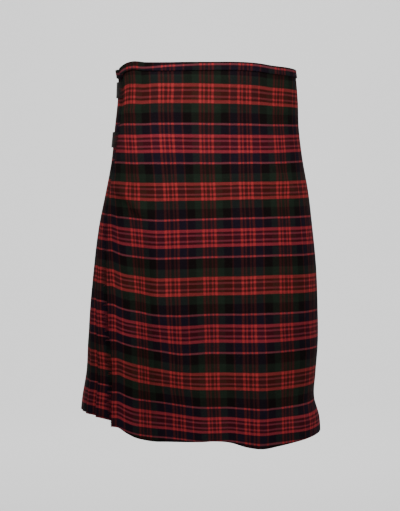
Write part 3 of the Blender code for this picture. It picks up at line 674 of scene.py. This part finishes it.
def pleats_shape(column, row):
    """The pleated back, from under the over-apron's edge round to the box fold."""
    turn = LAYER_ROOM / 2
    down = THREAD_TOP + row / PLEAT_ROWS * (THREAD_HEM - THREAD_TOP)
    inner = column - LAP_COLUMNS
    pleat = np.clip(inner // PLEAT_COLUMNS, 0, PLEATS - 1)
    step = inner - pleat * PLEAT_COLUMNS
    face = np.clip(step / FACE_STEPS, 0.0, 1.0)
    tip = np.clip((step - FACE_STEPS) / TIP_STEPS, 0.0, 1.0) * math.pi
    back = np.clip((step - FACE_STEPS - TIP_STEPS) / BACK_STEPS, 0.0, 1.0)
    root = np.clip((step - FACE_STEPS - TIP_STEPS - BACK_STEPS) / TIP_STEPS, 0.0, 1.0) * math.pi
    lap = np.minimum(inner, 0) / LAP_COLUMNS
    ending = np.maximum(step - PLEAT_COLUMNS, 0) / END_COLUMNS
    share = (pleat + face) / PLEATS
    top_arc = body.edge_arc(0.0) - share * body.pleated_width(0.0)
    drop = thread_drop(down, body.top_at(top_arc), read_table(PLEAT_HEM, share), PLEAT_RISE_FROM)
    pitch = body.pleated_width(drop) / PLEATS
    under, height, gap = (read_table(PLEAT_FORM, drop, which) for which in (1, 2, 3))
    height = height * (1 + SWING * np.sin(SWING_STEP * pleat + SWING_START) * rise(drop, *SWING_DROPS))
    inset = np.where(pleat == PLEATS - 1, gap / 2, 0.0)
    face_length = pitch + under - 2 * turn - inset
    back_length = under - 2 * turn - inset
    place = pleat * pitch - under + turn + face * face_length + turn * np.sin(tip)
    place = place - back * back_length - turn * np.sin(root)
    lap_and_end = lap * (UNDER_LAP - under + turn) + ending * (BOX_FOLD_LAP + under - turn)
    level = height * face + 4 * PLEAT_BELLY * face * (1 - face) - turn * (1 - np.cos(tip))
    level = level - back * (height - 4 * turn) - turn * (1 - np.cos(root))
    play = 2 * SEAM + BOX_PLAY * rise(drop, *BOX_PLAY_DROPS)
    level = level + ending * (read_table(APRON_LEVEL, drop, 3) - 2 * turn - SOLID_CLOTH - play)
    run = face * face_length + (tip + root) * turn + back * back_length + lap_and_end
    step_across = 2 * HALF_SETT_ACROSS / PLEATS_PER_SETT
    across = PLEATS_START_ACROSS - pleat * step_across - run
    whole_pleat = pitch + 2 * under - 4 * turn + 2 * math.pi * turn
    before = np.where((step == 0) & (pleat > 0), across + step_across - whole_pleat, across)
    shift = read_table(PLEAT_THREADS_DOWN, drop) * (1 - rise(share, *PLEAT_THREADS_FADE))
    points = body.at(body.edge_arc(drop) - place - lap_and_end, level, drop)
    return points, across, before, down + shift * MILLIMETRE


def band_section(arc, inside, outside, row):
    """The waistband's folded strip between two levels, in rows up its outside, over the edge and down."""
    corner = np.minimum((outside - inside) / 2, BAND_CORNER)
    over = row - BAND_LEG_ROWS - BAND_CORNER_ROWS
    outer = np.clip(row / BAND_LEG_ROWS, 0.0, 1.0)
    first = np.clip((row - BAND_LEG_ROWS) / BAND_CORNER_ROWS, 0.0, 1.0) * math.pi / 2
    across = np.clip(over, 0.0, 1.0)
    second = np.clip((over - 1) / BAND_CORNER_ROWS, 0.0, 1.0) * math.pi / 2
    inner = np.clip((over - BAND_CORNER_ROWS - 1) / BAND_LEG_ROWS, 0.0, 1.0)
    edge = BAND_WALL / 2
    outer_leg = BAND_HEIGHT - edge - corner
    inner_leg = BAND_INSIDE - edge - corner
    flat = outside - inside - 2 * corner
    depth = BAND_HEIGHT - outer * outer_leg - corner * np.sin(first)
    depth = depth + corner * (1 - np.cos(second)) + inner * inner_leg
    level = outside - corner * (1 - np.cos(first)) - across * flat - corner * np.sin(second)
    run = outer * outer_leg + (first + second) * corner + across * flat + inner * inner_leg
    line_depth = read_table(BAND_LINE, body.at(arc, 0.0, 0.0)[:, 0])
    down = FIRST_GROUP_DROP + BAND_STRIPE + (BAND_HEIGHT - line_depth) - run
    across_threads = threads_across(arc, 0.0)
    return body.at(arc, level, body.top_at(arc) + depth), across_threads, across_threads, down


def band_front_shape(column, row):
    """The waistband along the over-apron, which flares at its free corner."""
    start = body.edge_arc(0.0)
    end = body.fold_arc(0.0) - SEAM / 2
    share = column / BAND_FRONT_COLUMNS
    arc = start + share * (end - start)
    wall = apron_level(share, arc, THREAD_TOP)
    flare = BAND_CORNER_FLARE * (1 - rise(arc - start, 0.0, BAND_CORNER_REACH))
    dip = rise(arc - (body.fold_arc(0.0) - UNDER_SHORT_OF_FOLD), *BAND_DIP)
    inside = (wall - BAND_CLEAR) * (1 - dip) - BAND_CLEAR * dip
    return band_section(arc, inside, wall + BAND_CLEAR + flare, row)


def band_back_shape(column, row):
    """The waistband along the pleats and on round inside the front."""
    length = body.pleated_width(0.0) - body.edge_arc(0.0) + body.fold_arc(0.0)
    start = body.fold_arc(0.0) + SEAM / 2
    end = body.fold_arc(0.0) - UNDER_SHORT_OF_FOLD + length
    edge = body.edge_arc(0.0) + length
    arc = start + column / BAND_BACK_COLUMNS * (end - start)
    underfold, height = (float(read_table(PLEAT_FORM, 0.0, which)) for which in (1, 2))
    pitch = body.pleated_width(0.0) / PLEATS
    on_pleats = np.clip((edge + underfold + BAND_PAST_EDGE - arc) / (underfold + pitch), 0.0, 1.0)
    outside = BAND_CLEAR + (height + BAND_OVER_PLEATS) * on_pleats
    return band_section(arc, -BAND_CLEAR, outside, row)


def upright(edge):
    """True for an edge that runs along the axis of a fresh cone."""
    return abs(edge.verts[0].co.z - edge.verts[1].co.z) > 0.5


def as_template(name, form):
    """The mesh of a form that is repeated, and its points. The form is used up."""
    template = bpy.data.meshes.new(name)
    form.to_mesh(template)
    points = np.array([tuple(vert.co) for vert in form.verts])
    form.free()
    return template, points


def add_copy(target, template, points):
    """Adds a copy of a template to a form, with its points at new places."""
    target.from_mesh(template)
    target.verts.ensure_lookup_table()
    for vert, point in zip(target.verts[-len(points):], points):
        vert.co = point


def fringe():
    """The threads left loose along the over-apron's edge."""
    yarn = bmesh.new()
    bmesh.ops.create_cone(
        yarn, cap_ends=True, segments=STRAND_SIDES, radius1=1.0, radius2=STRAND_TIP_SHARE, depth=1.0
    )
    lengthwise = [edge for edge in yarn.edges if upright(edge)]
    bmesh.ops.subdivide_edges(yarn, edges=lengthwise, cuts=STRAND_CUTS)
    template, form = as_template("yarn", yarn)
    along = form[:, 2] + 0.5
    comb = bmesh.new()
    chance = np.random.default_rng(STRAND_SEED)
    step, slow_step = STRAND_UNEVEN_STEPS
    downs = np.linspace(BAND_HEIGHT + FRINGE_BELOW_BAND, THREAD_HEM - FRINGE_ABOVE_HEM, STRANDS)
    tints = []
    for strand, down in enumerate(downs):
        uneven = STRAND_UNEVEN * math.sin(step * strand) * math.sin(slow_step * strand)
        length = STRAND_LENGTH * (1 + uneven + chance.uniform(*STRAND_CHANCE))
        length *= 1 - FRINGE_TRIMMED_SHARE * float(rise(down, *FRINGE_TRIMMED))
        drop = float(apron_drop(np.array([0.0]), np.array([down]))[0])
        arc = float(body.edge_arc(drop))
        level = float(apron_level(np.array([0.0]), np.array([arc]), np.array([drop]))[0])
        lift = chance.uniform(*STRAND_STRAY) + STRAND_LIFT * over_strap(drop)
        sag = chance.uniform(*STRAND_SAG)
        wave = chance.uniform(*STRAND_WAVE)
        arcs = arc + STRAND_ROOT - along * length
        levels = level + lift * along**2 + wave * np.sin(along * OUTWARD_PACE) + form[:, 0] * STRAND_RADIUS
        drops = drop + sag * along**2 + wave * np.sin(along * DOWNWARD_PACE) + form[:, 1] * STRAND_RADIUS
        add_copy(comb, template, body.at(arcs, levels, drops))
        root = body.at(np.array([arc]), 0.0, np.array([drop]))
        tint = down + float(shifted_threads(THREADS_DOWN, root[:, 0], np.array([drop]))[0])
        tints += [tint] * len(template.polygons)
    bpy.data.meshes.remove(template)
    threads = comb.loops.layers.uv.new("threads")
    for face, tint in zip(comb.faces, tints):
        for loop in face.loops:
            loop[threads].uv = (0.0, tint)
    bmesh.ops.recalc_face_normals(comb, faces=comb.faces)
    return finish_mesh("fringe_yarns", comb)


def over_strap(drop):
    """1 where a strap passes below the fringe, 0 elsewhere and a soft step between."""
    away = min(abs(drop - WAIST_STRAP_DROP), abs(drop - HIP_STRAP_DROP)) - STRAP_WIDTH / 2
    return 1 - float(rise(away, *STRAND_LIFT_RANGE))


def on_fastening(where, distance, level, drop_side):
    """Points of a strap or its buckle, which lie straight across their width."""
    start_arc, way, middle_drop = where
    reach = STRAP_WIDTH / 2 + TAB_MARGIN
    arc, level, drop_side = np.broadcast_arrays(start_arc + way * distance, level, drop_side)
    upper = body.at(arc, level, middle_drop - reach)
    lower = body.at(arc, level, middle_drop + reach)
    share = (drop_side + reach) / (2 * reach)
    return upper + share[:, None] * (lower - upper)


def leather_strip(name, where, route, width, wall, steps, taper=0.0):
    """A strip of leather whose middle line runs through (distance, level) places, with a rounded tail."""
    distances = np.array([place[0] for place in route])
    levels = np.array([place[1] for place in route])
    tail = distances[-1]
    strip = bmesh.new()
    bmesh.ops.create_grid(strip, x_segments=steps, y_segments=STRIP_COLUMNS, size=0.5)
    flat = np.array([tuple(vert.co) for vert in strip.verts])
    across = flat[:, 1] * 2
    distance = distances[0] + (flat[:, 0] + 0.5) * (tail - distances[0])
    if taper:
        rounding = 1 - np.sqrt(1 - across**2 * TAIL_ROUNDNESS)
        distance = np.minimum(distance, tail - taper * rounding * rise(distance, tail - 2 * taper, tail))
    points = on_fastening(where, distance, np.interp(distance, distances, levels), across * width / 2)
    for vert, point in zip(strip.verts, points):
        vert.co = point
    pattern = strip.loops.layers.uv.new("leather")
    for face in strip.faces:
        for loop in face.loops:
            loop[pattern].uv = (distance[loop.vert.index], across[loop.vert.index] * width / 2)
    piece = thicken(finish_mesh(name, strip), wall)
    edge = piece.modifiers.new("edge", "BEVEL")
    edge.width = LEATHER_EDGE
    edge.segments = 2
    edge.limit_method = "ANGLE"
    edge.angle_limit = math.radians(LEATHER_EDGE_DEGREES)
    return piece


def round_edges(shape, edges, reach, segments):
    """Rounds edges of a form over a reach to each side."""
    bmesh.ops.bevel(
        shape,
        geom=edges,
        offset=reach,
        offset_type="OFFSET",
        segments=segments,
        profile=0.5,
        affect="EDGES",
        material=-1,
    )


def refined(name, node, bevel=0.0, levels=0):
    """A finer copy of a solid of the frame: merged, with its edges rounded or its form made smooth."""
    copy = bmesh.new()
    copy.from_mesh(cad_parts[node].data)
    bmesh.ops.remove_doubles(copy, verts=copy.verts, dist=WELD)
    bmesh.ops.join_triangles(
        copy,
        faces=copy.faces,
        angle_face_threshold=math.radians(FLAT_DEGREES),
        angle_shape_threshold=math.radians(SKEW_DEGREES),
    )
    bmesh.ops.recalc_face_normals(copy, faces=copy.faces)
    if bevel:
        whole = [edge for edge in copy.edges if edge.is_manifold]
        sharp = [edge for edge in whole if edge.calc_face_angle() > math.radians(SHARP_DEGREES)]
        round_edges(copy, sharp, bevel, 3)
    piece = finish_mesh(name, copy)
    if levels:
        smooth = piece.modifiers.new("smooth", "SUBSURF")
        smooth.levels = levels
        smooth.render_levels = levels
    return piece


def stitches(name, where, runs):
    """Rows of short stitches on leather. Each run is its first and last distance, level and side."""
    thread = bmesh.new()
    full = STITCH_FULLNESS
    bmesh.ops.create_cone(thread, cap_ends=True, segments=STITCH_SIDES, radius1=full, radius2=full, depth=1.0)
    round_edges(thread, [edge for edge in thread.edges if not upright(edge)], STITCH_ROUNDING, 2)
    template, form = as_template("stitch", thread)
    sewn = bmesh.new()
    for first, last, level_at, side in runs:
        count = max(int(round((last - first) / STITCH_PITCH)), 1)
        for index in range(count):
            share = (index + 0.5 + form[:, 2] * STITCH_SHARE) / count
            distance = first + (last - first) * share
            level = level_at(distance) + form[:, 1] * STITCH_RADIUS * STITCH_FLATNESS
            add_copy(sewn, template, on_fastening(where, distance, level, side + form[:, 0] * STITCH_RADIUS))
    bpy.data.meshes.remove(template)
    bmesh.ops.recalc_face_normals(sewn, faces=sewn.faces)
    return finish_mesh(name, sewn)


class Value:
    """A number socket of a material, for use in Python expressions."""

    def __init__(self, paint, socket):
        self.paint = paint
        self.socket = socket

    def maths(self, operation, *others):
        return self.paint.maths(operation, self, *others)

    def __add__(self, other):
        return self.paint.maths("ADD", self, other)

    def __radd__(self, other):
        return self.paint.maths("ADD", other, self)

    def __sub__(self, other):
        return self.paint.maths("SUBTRACT", self, other)

    def __rsub__(self, other):
        return self.paint.maths("SUBTRACT", other, self)

    def __mul__(self, other):
        return self.paint.maths("MULTIPLY", self, other)

    def __rmul__(self, other):
        return self.paint.maths("MULTIPLY", other, self)

    def __truediv__(self, other):
        return self.paint.maths("DIVIDE", self, other)

    def __rtruediv__(self, other):
        return self.paint.maths("DIVIDE", other, self)


class Paint:
    """One material and its nodes."""

    def __init__(self, name, **constants):
        self.material = bpy.data.materials.new(name)
        self.material.use_nodes = True
        self.tree = self.material.node_tree
        self.shader = self.tree.nodes["Principled BSDF"]
        for socket, value in constants.items():
            self.give(socket.replace("_", " "), value)

    def feed(self, socket, value):
        """Sets a socket's value, or links it."""
        if isinstance(value, Value):
            self.tree.links.new(value.socket, socket)
        elif hasattr(value, "is_output"):
            self.tree.links.new(value, socket)
        else:
            socket.default_value = value

    def give(self, socket, value):
        """Sets or links one of the shader's own sockets."""
        self.feed(self.shader.inputs[socket], value)

    def node(self, kind, settings, values):
        """A node of a type, with its settings, and values or links for its sockets."""
        node = self.tree.nodes.new(kind)
        for setting, value in settings.items():
            if setting == "stops":
                self.set_stops(node.color_ramp.elements, value)
            elif setting == "interpolation":
                node.color_ramp.interpolation = value
            else:
                setattr(node, setting, value)
        for socket, value in values.items():
            self.feed(node.inputs[socket], value)
        return node

    def set_stops(self, stops, places):
        while len(stops) > 1:
            stops.remove(stops[-1])
        for index, (place, colour) in enumerate(places):
            stop = stops[0] if index == 0 else stops.new(place)
            stop.position = place
            stop.color = colour

    def maths(self, operation, *values):
        node = self.node("ShaderNodeMath", {"operation": operation}, dict(enumerate(values)))
        return Value(self, node.outputs[0])

    def mix(self, share, first, second, blend="MIX"):
        settings = {"data_type": "RGBA", "blend_type": blend}
        return self.node("ShaderNodeMix", settings, {0: share, 6: first, 7: second}).outputs[2]

    def grain(self):
        """The place on the object, for textures that stay with it."""
        return self.node("ShaderNodeTexCoord", {}, {}).outputs["Object"]

    def noise(self, vector, scale, detail=2.0, roughness=0.5):
        values = {"Vector": vector, "Scale": scale, "Detail": detail, "Roughness": roughness}
        return Value(self, self.node("ShaderNodeTexNoise", {}, values).outputs["Fac"])

    def bump(self, height, strength, distance):
        values = {"Height": height, "Strength": strength, "Distance": distance}
        self.give("Normal", self.node("ShaderNodeBump", {}, values).outputs["Normal"])

    def between(self, value, low, high, new_low, new_high):
        settings = {"clamp": True}
        values = {"Value": value, "From Min": low, "From Max": high, "To Min": new_low, "To Max": new_high}
        return Value(self, self.node("ShaderNodeMapRange", settings, values).outputs["Result"])


def shade(screen):
    """A colour given as it looks on a screen, in 0 to 255, as the shader's own numbers."""
    shares = [value / 255 for value in screen]
    light = [((share + 0.055) / 1.055) ** 2.4 if share > 0.04 else share / 12.92 for share in shares]
    return (*light, 1.0)


def grey(value):
    """One of the shader's own numbers as a grey colour."""
    return (value, value, value, 1.0)


def chart_stops(softness, part):
    """Stops of a ramp through the chart's stripes, which run into each other at their borders."""
    colours = [part(COLOURS[name]) for _, name in CHART]
    stops = [(0.0, colours[0])]
    for (end, _), before, after in zip(CHART, colours, colours[1:]):
        stops += [(end - softness, before), (end + softness, after)]
    return stops + [(1.0, colours[-1])]


def tartan(name, loose=False):
    """Tartan in a brushed worsted twill, charted on each thread's place across and down."""
    paint = Paint(name, Roughness=0.92, Specular_IOR_Level=0.04)
    threads = paint.node("ShaderNodeUVMap", {"uv_map": "threads"}, {}).outputs["UV"]
    places = paint.node("ShaderNodeSeparateXYZ", {}, {0: threads})
    across = Value(paint, places.outputs["X"])
    down = Value(paint, places.outputs["Y"])
    grain = paint.grain()
    wander = (paint.noise(grain, 55.0, 1.0) - 0.5) * 0.0008
    wander = wander + (paint.noise(grain, 700.0, 1.0) - 0.5) * 0.0007
    repeat_down = ((down - FIRST_GROUP_DROP + wander) / HALF_SETT_DOWN).maths("PINGPONG", 1.0)
    repeat_across = ((across + wander) / HALF_SETT_ACROSS).maths("PINGPONG", 1.0)

    def chart(place, half_sett, part):
        settings = {"interpolation": "EASE", "stops": chart_stops(BORDER / half_sett, part)}
        return paint.node("ShaderNodeValToRGB", settings, {"Fac": place}).outputs["Color"]

    def chart_down(part):
        return chart(repeat_down, HALF_SETT_DOWN, part)

    def chart_across(part):
        return chart(repeat_across, HALF_SETT_ACROSS, part)

    weft = chart_down(lambda colour: shade(colour[0]))
    red = chart_down(lambda colour: shade(colour[1]))
    weft_line = Value(paint, chart_down(lambda colour: grey(colour[2])))
    ridge = (((across + down) / (4 * THREAD)).maths("FRACT") * 2 * math.pi).maths("SINE")
    picks = ((down / THREAD) * 2 * math.pi).maths("SINE")
    ends = ((across / THREAD) * 2 * math.pi).maths("SINE")
    if loose:
        lengthwise, crosswise = weft, red
    else:
        warp = chart_across(lambda colour: shade(colour[0]))
        warp_line = Value(paint, chart_across(lambda colour: grey(colour[3])))
        shows = Value(paint, chart_down(lambda colour: grey(colour[4])))
        ground = paint.mix(0.42 + ridge * 0.16, weft, warp)
        lengthwise = paint.mix(warp_line * shows, ground, shade(RED_LENGTHWISE))
        crosswise = paint.mix(warp_line * 0.90, red, shade(RED_BOTH))
    cloth_colour = paint.mix(weft_line * (0.94 + ridge * 0.06), lengthwise, crosswise)
    streak_places = {"X": across * 12.0, "Y": down / THREAD * 0.5}
    streaks = paint.node("ShaderNodeCombineXYZ", {}, streak_places).outputs[0]
    patches = paint.between(paint.noise(grain, 9.0, 3.0), 0.3, 0.7, 0.86, 1.14)
    fuzz = paint.between(paint.noise(grain, 900.0, 2.0), 0.25, 0.75, 0.80, 1.20)
    slubs = paint.between(paint.noise(streaks, 1.0, 2.0), 0.25, 0.75, 0.86, 1.14)
    yarn_shade = patches * fuzz * slubs * (1.0 + ridge * 0.10)
    channels = {0: yarn_shade, 1: yarn_shade, 2: yarn_shade}
    tone = paint.node("ShaderNodeCombineColor", {}, channels).outputs[0]
    paint.give("Base Color", paint.mix(1.0, cloth_colour, tone, "MULTIPLY"))
    paint.give("Roughness", paint.between(paint.noise(grain, 400.0, 2.0), 0.3, 0.7, 0.86, 0.98))
    paint.bump(ridge * 0.5 + picks * 0.25 + ends * 0.25, 0.35, 0.00012)
    return paint.material


def leather():
    """Black leather with fine pores, worn a little."""
    paint = Paint("strap_leather", Roughness=0.6, Specular_IOR_Level=0.12)
    grain = paint.grain()
    pores = paint.node("ShaderNodeTexVoronoi", {}, {"Vector": grain, "Scale": 1400.0})
    pore = Value(paint, pores.outputs["Distance"])
    wear = paint.between(paint.noise(grain, 60.0, 4.0), 0.35, 0.75, 0.0, 1.0)
    paint.give("Base Color", paint.mix(wear, shade(LEATHER), shade(LEATHER_WORN)))
    paint.give("Roughness", paint.between(paint.noise(grain, 220.0, 3.0), 0.3, 0.7, 0.50, 0.70))
    paint.bump(pore * 0.6 + paint.noise(grain, 300.0, 3.0) * 0.5, 0.35, 0.0003)
    return paint.material


def steel():
    """Plated steel with light scuffs."""
    paint = Paint("buckle_steel", Metallic=1.0, Roughness=0.25)
    scuffs = paint.noise(paint.grain(), 500.0, 4.0)
    paint.give("Base Color", paint.mix(scuffs, shade(STEEL), shade(STEEL_SCUFFED)))
    paint.give("Roughness", paint.between(scuffs, 0.3, 0.7, 0.20, 0.38))
    paint.bump(scuffs, 0.08, 0.0002)
    return paint.material


def sewing_thread():
    """Waxed dark thread."""
    paint = Paint("sewing_thread", Roughness=0.7, Specular_IOR_Level=0.2)
    ply = paint.noise(paint.grain(), 2600.0, 1.0)
    paint.give("Base Color", paint.mix(ply, shade(WAXED_THREAD), shade(WAXED_THREAD_PALE)))
    paint.bump(ply, 0.4, 0.0002)
    return paint.material


def pale_ground():
    """The floor's even pale paint."""
    paint = Paint("pale_floor", Roughness=0.9, Specular_IOR_Level=0.1)
    cloudy = paint.noise(paint.grain(), 2.0, 2.0)
    paint.give("Base Color", paint.mix(cloudy, grey(FLOOR_GREY), grey(FLOOR_GREY_PALE)))
    return paint.material


tartan_cloth = tartan("tartan_cloth")
loose_threads = tartan("tartan_loose_threads", loose=True)
strap_leather = leather()
buckle_steel = steel()
waxed_thread = sewing_thread()


def dress(piece, material, slot, *nodes):
    """Gives a piece its material, and puts it in the place of nodes of the frame. The slot is not used."""
    piece.data.materials.clear()
    piece.data.materials.append(material)
    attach(piece, "root")
    if nodes:
        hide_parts(*nodes)
    return piece


def fastening(place, start_arc, start_level, way, middle_drop, tuck_length, rise_length):
    """A strap through its buckle, the tab that holds the buckle, the keeper loop and the stitches."""
    where = (start_arc, way, middle_drop)
    bar = BUCKLE_AT - FRAME_LENGTH / 2
    heel = BUCKLE_AT + FRAME_LENGTH / 2
    tab_level = STRAP_REST - STRAP_WALL / 2 + TAB_WALL / 2
    over_heel = FRAME_LEVEL + FRAME_WIRE + SEAM + STRAP_WALL / 2
    tail_level = tab_level + TAB_WALL / 2 + SEAM + STRAP_WALL / 2
    strap_route = (
        (0.0, start_level),
        (tuck_length, start_level),
        (tuck_length + rise_length, STRAP_REST),
        (bar + BAR_EASE, STRAP_REST),
        (heel - BAR_EASE, over_heel),
        (heel + BAR_EASE, over_heel),
        (heel + TAIL_NEAR, tail_level + TAIL_PLAY),
        (heel + TAIL_DOWN, tail_level),
        (heel + STRAP_TAIL, tail_level),
    )
    tab_route = ((heel - BAR_EASE, tab_level), (heel - BAR_EASE + TAB_LENGTH, tab_level))
    tab_width = STRAP_WIDTH + 2 * TAB_MARGIN
    strap_name, tab_name, buckle_name = "strap_" + place, "tab_" + place, "buckle_" + place
    tongue_name, keeper_name = "tongue_" + place, "keeper_" + place
    strap = leather_strip(
        strap_name + "_leather", where, strap_route, STRAP_WIDTH, STRAP_WALL, STRAP_STEPS, TAIL_TAPER
    )
    dress(strap, strap_leather, "strap_leather", strap_name)
    tab = leather_strip(tab_name + "_leather", where, tab_route, tab_width, TAB_WALL, TAB_STEPS)
    dress(tab, strap_leather, "strap_leather", tab_name)
    buckle = refined(buckle_name + "_frame", buckle_name, levels=2)
    dress(buckle, buckle_steel, "buckle_steel", buckle_name)
    tongue = refined(tongue_name + "_pin", tongue_name, bevel=TONGUE_EDGE)
    dress(tongue, buckle_steel, "buckle_steel", tongue_name)
    keeper = refined(keeper_name + "_loop", keeper_name, bevel=KEEPER_EDGE)
    dress(keeper, strap_leather, "strap_leather", keeper_name)

    def on_strap(distance):
        distances, levels = zip(*strap_route)
        return np.interp(distance, distances, levels) + STRAP_WALL / 2

    def on_tab(distance):
        return tab_level + TAB_WALL / 2

    edge = STRAP_WIDTH / 2 - STITCH_INSET
    tab_edge = tab_width / 2 - TAB_STITCH_INSET
    shown = tuck_length + rise_length + STITCH_FROM_RISE
    tail_end = heel + STRAP_TAIL - STITCH_TAIL_END
    tab_end = tab_route[-1][0] - TAB_STITCH_END
    runs = [(shown, bar - STITCH_FROM_BAR, on_strap, side) for side in (-edge, edge)]
    runs += [(heel + STITCH_TAIL_START, tail_end, on_strap, side) for side in (-edge, edge)]
    runs += [(heel + TAB_STITCH_START, tab_end, on_tab, side) for side in (-tab_edge, tab_edge)]
    dress(stitches("stitches_" + place, where, runs), waxed_thread, "strap_leather")


# Cloth pieces
apron_columns = APRON_COLUMNS + TURN_COLUMNS + RETURN_COLUMNS
pleated_columns = LAP_COLUMNS + PLEATS * PLEAT_COLUMNS + END_COLUMNS
apron = cloth("over_apron_cloth", apron_columns, APRON_ROWS, CLOTH, over_apron_shape)
under = cloth("under_apron_cloth", UNDER_COLUMNS, UNDER_ROWS, CLOTH, under_apron_shape)
pleated = cloth("pleated_back", pleated_columns, PLEAT_ROWS, CLOTH, pleats_shape)
band_front = cloth("waistband_in_front", BAND_FRONT_COLUMNS, BAND_ROWS, BAND_WALL, band_front_shape)
band_back = cloth("waistband_at_the_back", BAND_BACK_COLUMNS, BAND_ROWS, BAND_WALL, band_back_shape)
dress(apron, tartan_cloth, "tartan_front", "over_apron")
dress(under, tartan_cloth, "tartan_under", "under_apron")
dress(pleated, tartan_cloth, "tartan_back", "pleats")
dress(band_front, tartan_cloth, "tartan_band", "waistband_front")
dress(band_back, tartan_cloth, "tartan_band", "waistband_back")
yarns = dress(fringe(), loose_threads, "fringe_wool", "fringe")

# Straps and buckles
edge_level = float(read_table(APRON_LEVEL, RIGHT_LEVEL_DROP, 2))
right_level = edge_level - SOLID_CLOTH / 2 - SEAM - STRAP_WALL / 2
for place, drop in (("right_waist", WAIST_STRAP_DROP), ("right_hip", HIP_STRAP_DROP)):
    start = float(body.edge_arc(drop)) + EDGE_TO_STRAP_END
    fastening(place, start, right_level, -1, drop, TUCK, STRAP_RISE)
half_gap = float(read_table(PLEAT_FORM, WAIST_STRAP_DROP, 3)) / 2
start = float(body.fold_arc(WAIST_STRAP_DROP)) - half_gap + STRAP_START_IN_FOLD
left_level = STRAP_REST - LOW_IN_FOLD
fastening("left_waist", start, left_level, 1, WAIST_STRAP_DROP, TUCK_IN_FOLD, STRAP_RISE_IN_FOLD)


def sweep():
    """A pale floor that turns up into a pale wall."""
    ground = bmesh.new()
    bmesh.ops.create_grid(ground, x_segments=1, y_segments=1, size=1.0)
    half_depth = (FLOOR_FAR - FLOOR_NEAR) / 2
    for vert in ground.verts:
        vert.co = (vert.co.x * FLOOR_REACH, FLOOR_NEAR + (vert.co.y + 1) * half_depth, FLOOR_HEIGHT)
    far = [edge for edge in ground.edges if all(vert.co.y > FLOOR_FAR - 0.5 for vert in edge.verts)]
    centre = (0.0, FLOOR_FAR, FLOOR_HEIGHT + WALL_CURVE)
    bmesh.ops.spin(
        ground, geom=far, cent=centre, axis=(1.0, 0.0, 0.0), angle=math.pi / 2, steps=WALL_CURVE_STEPS
    )
    top = max(vert.co.z for vert in ground.verts)
    rim = [edge for edge in ground.edges if all(abs(vert.co.z - top) < 1e-4 for vert in edge.verts)]
    raised = bmesh.ops.extrude_edge_only(ground, edges=rim)["geom"]
    corners = [part for part in raised if isinstance(part, bmesh.types.BMVert)]
    bmesh.ops.translate(ground, verts=corners, vec=(0.0, 0.0, WALL_ABOVE_CURVE))
    return finish_mesh("floor", ground)


def soft_light(name, place, aim, size, power):
    """A rectangular lamp that points at a place."""
    lamp = bpy.data.lights.new(name, "AREA")
    lamp.shape = "RECTANGLE"
    lamp.size, lamp.size_y = size
    lamp.energy = power
    holder = bpy.data.objects.new(name, lamp)
    holder.location = place
    holder.rotation_euler = (Vector(aim) - Vector(place)).to_track_quat("-Z", "Y").to_euler()
    bpy.context.scene.collection.objects.link(holder)


# Stage, lamps and camera
floor = sweep()
floor.data.materials.append(pale_ground())
for lamp_values in LAMPS:
    soft_light(*lamp_values)
world = bpy.data.worlds.new("studio")
world.use_nodes = True
background = world.node_tree.nodes["Background"]
background.inputs["Color"].default_value = (1.0, 1.0, 1.0, 1.0)
background.inputs["Strength"].default_value = WORLD_STRENGTH
bpy.context.scene.world = world
camera_data = bpy.data.cameras.new("camera")
camera_data.lens = CAMERA_LENS
camera_data.sensor_width = CAMERA_SENSOR
camera = bpy.data.objects.new("camera", camera_data)
camera.location = CAMERA_PLACE
camera.rotation_euler = (math.pi / 2 - math.radians(CAMERA_DOWN_DEGREES), 0.0, 0.0)
bpy.context.scene.collection.objects.link(camera)
bpy.context.scene.camera = camera
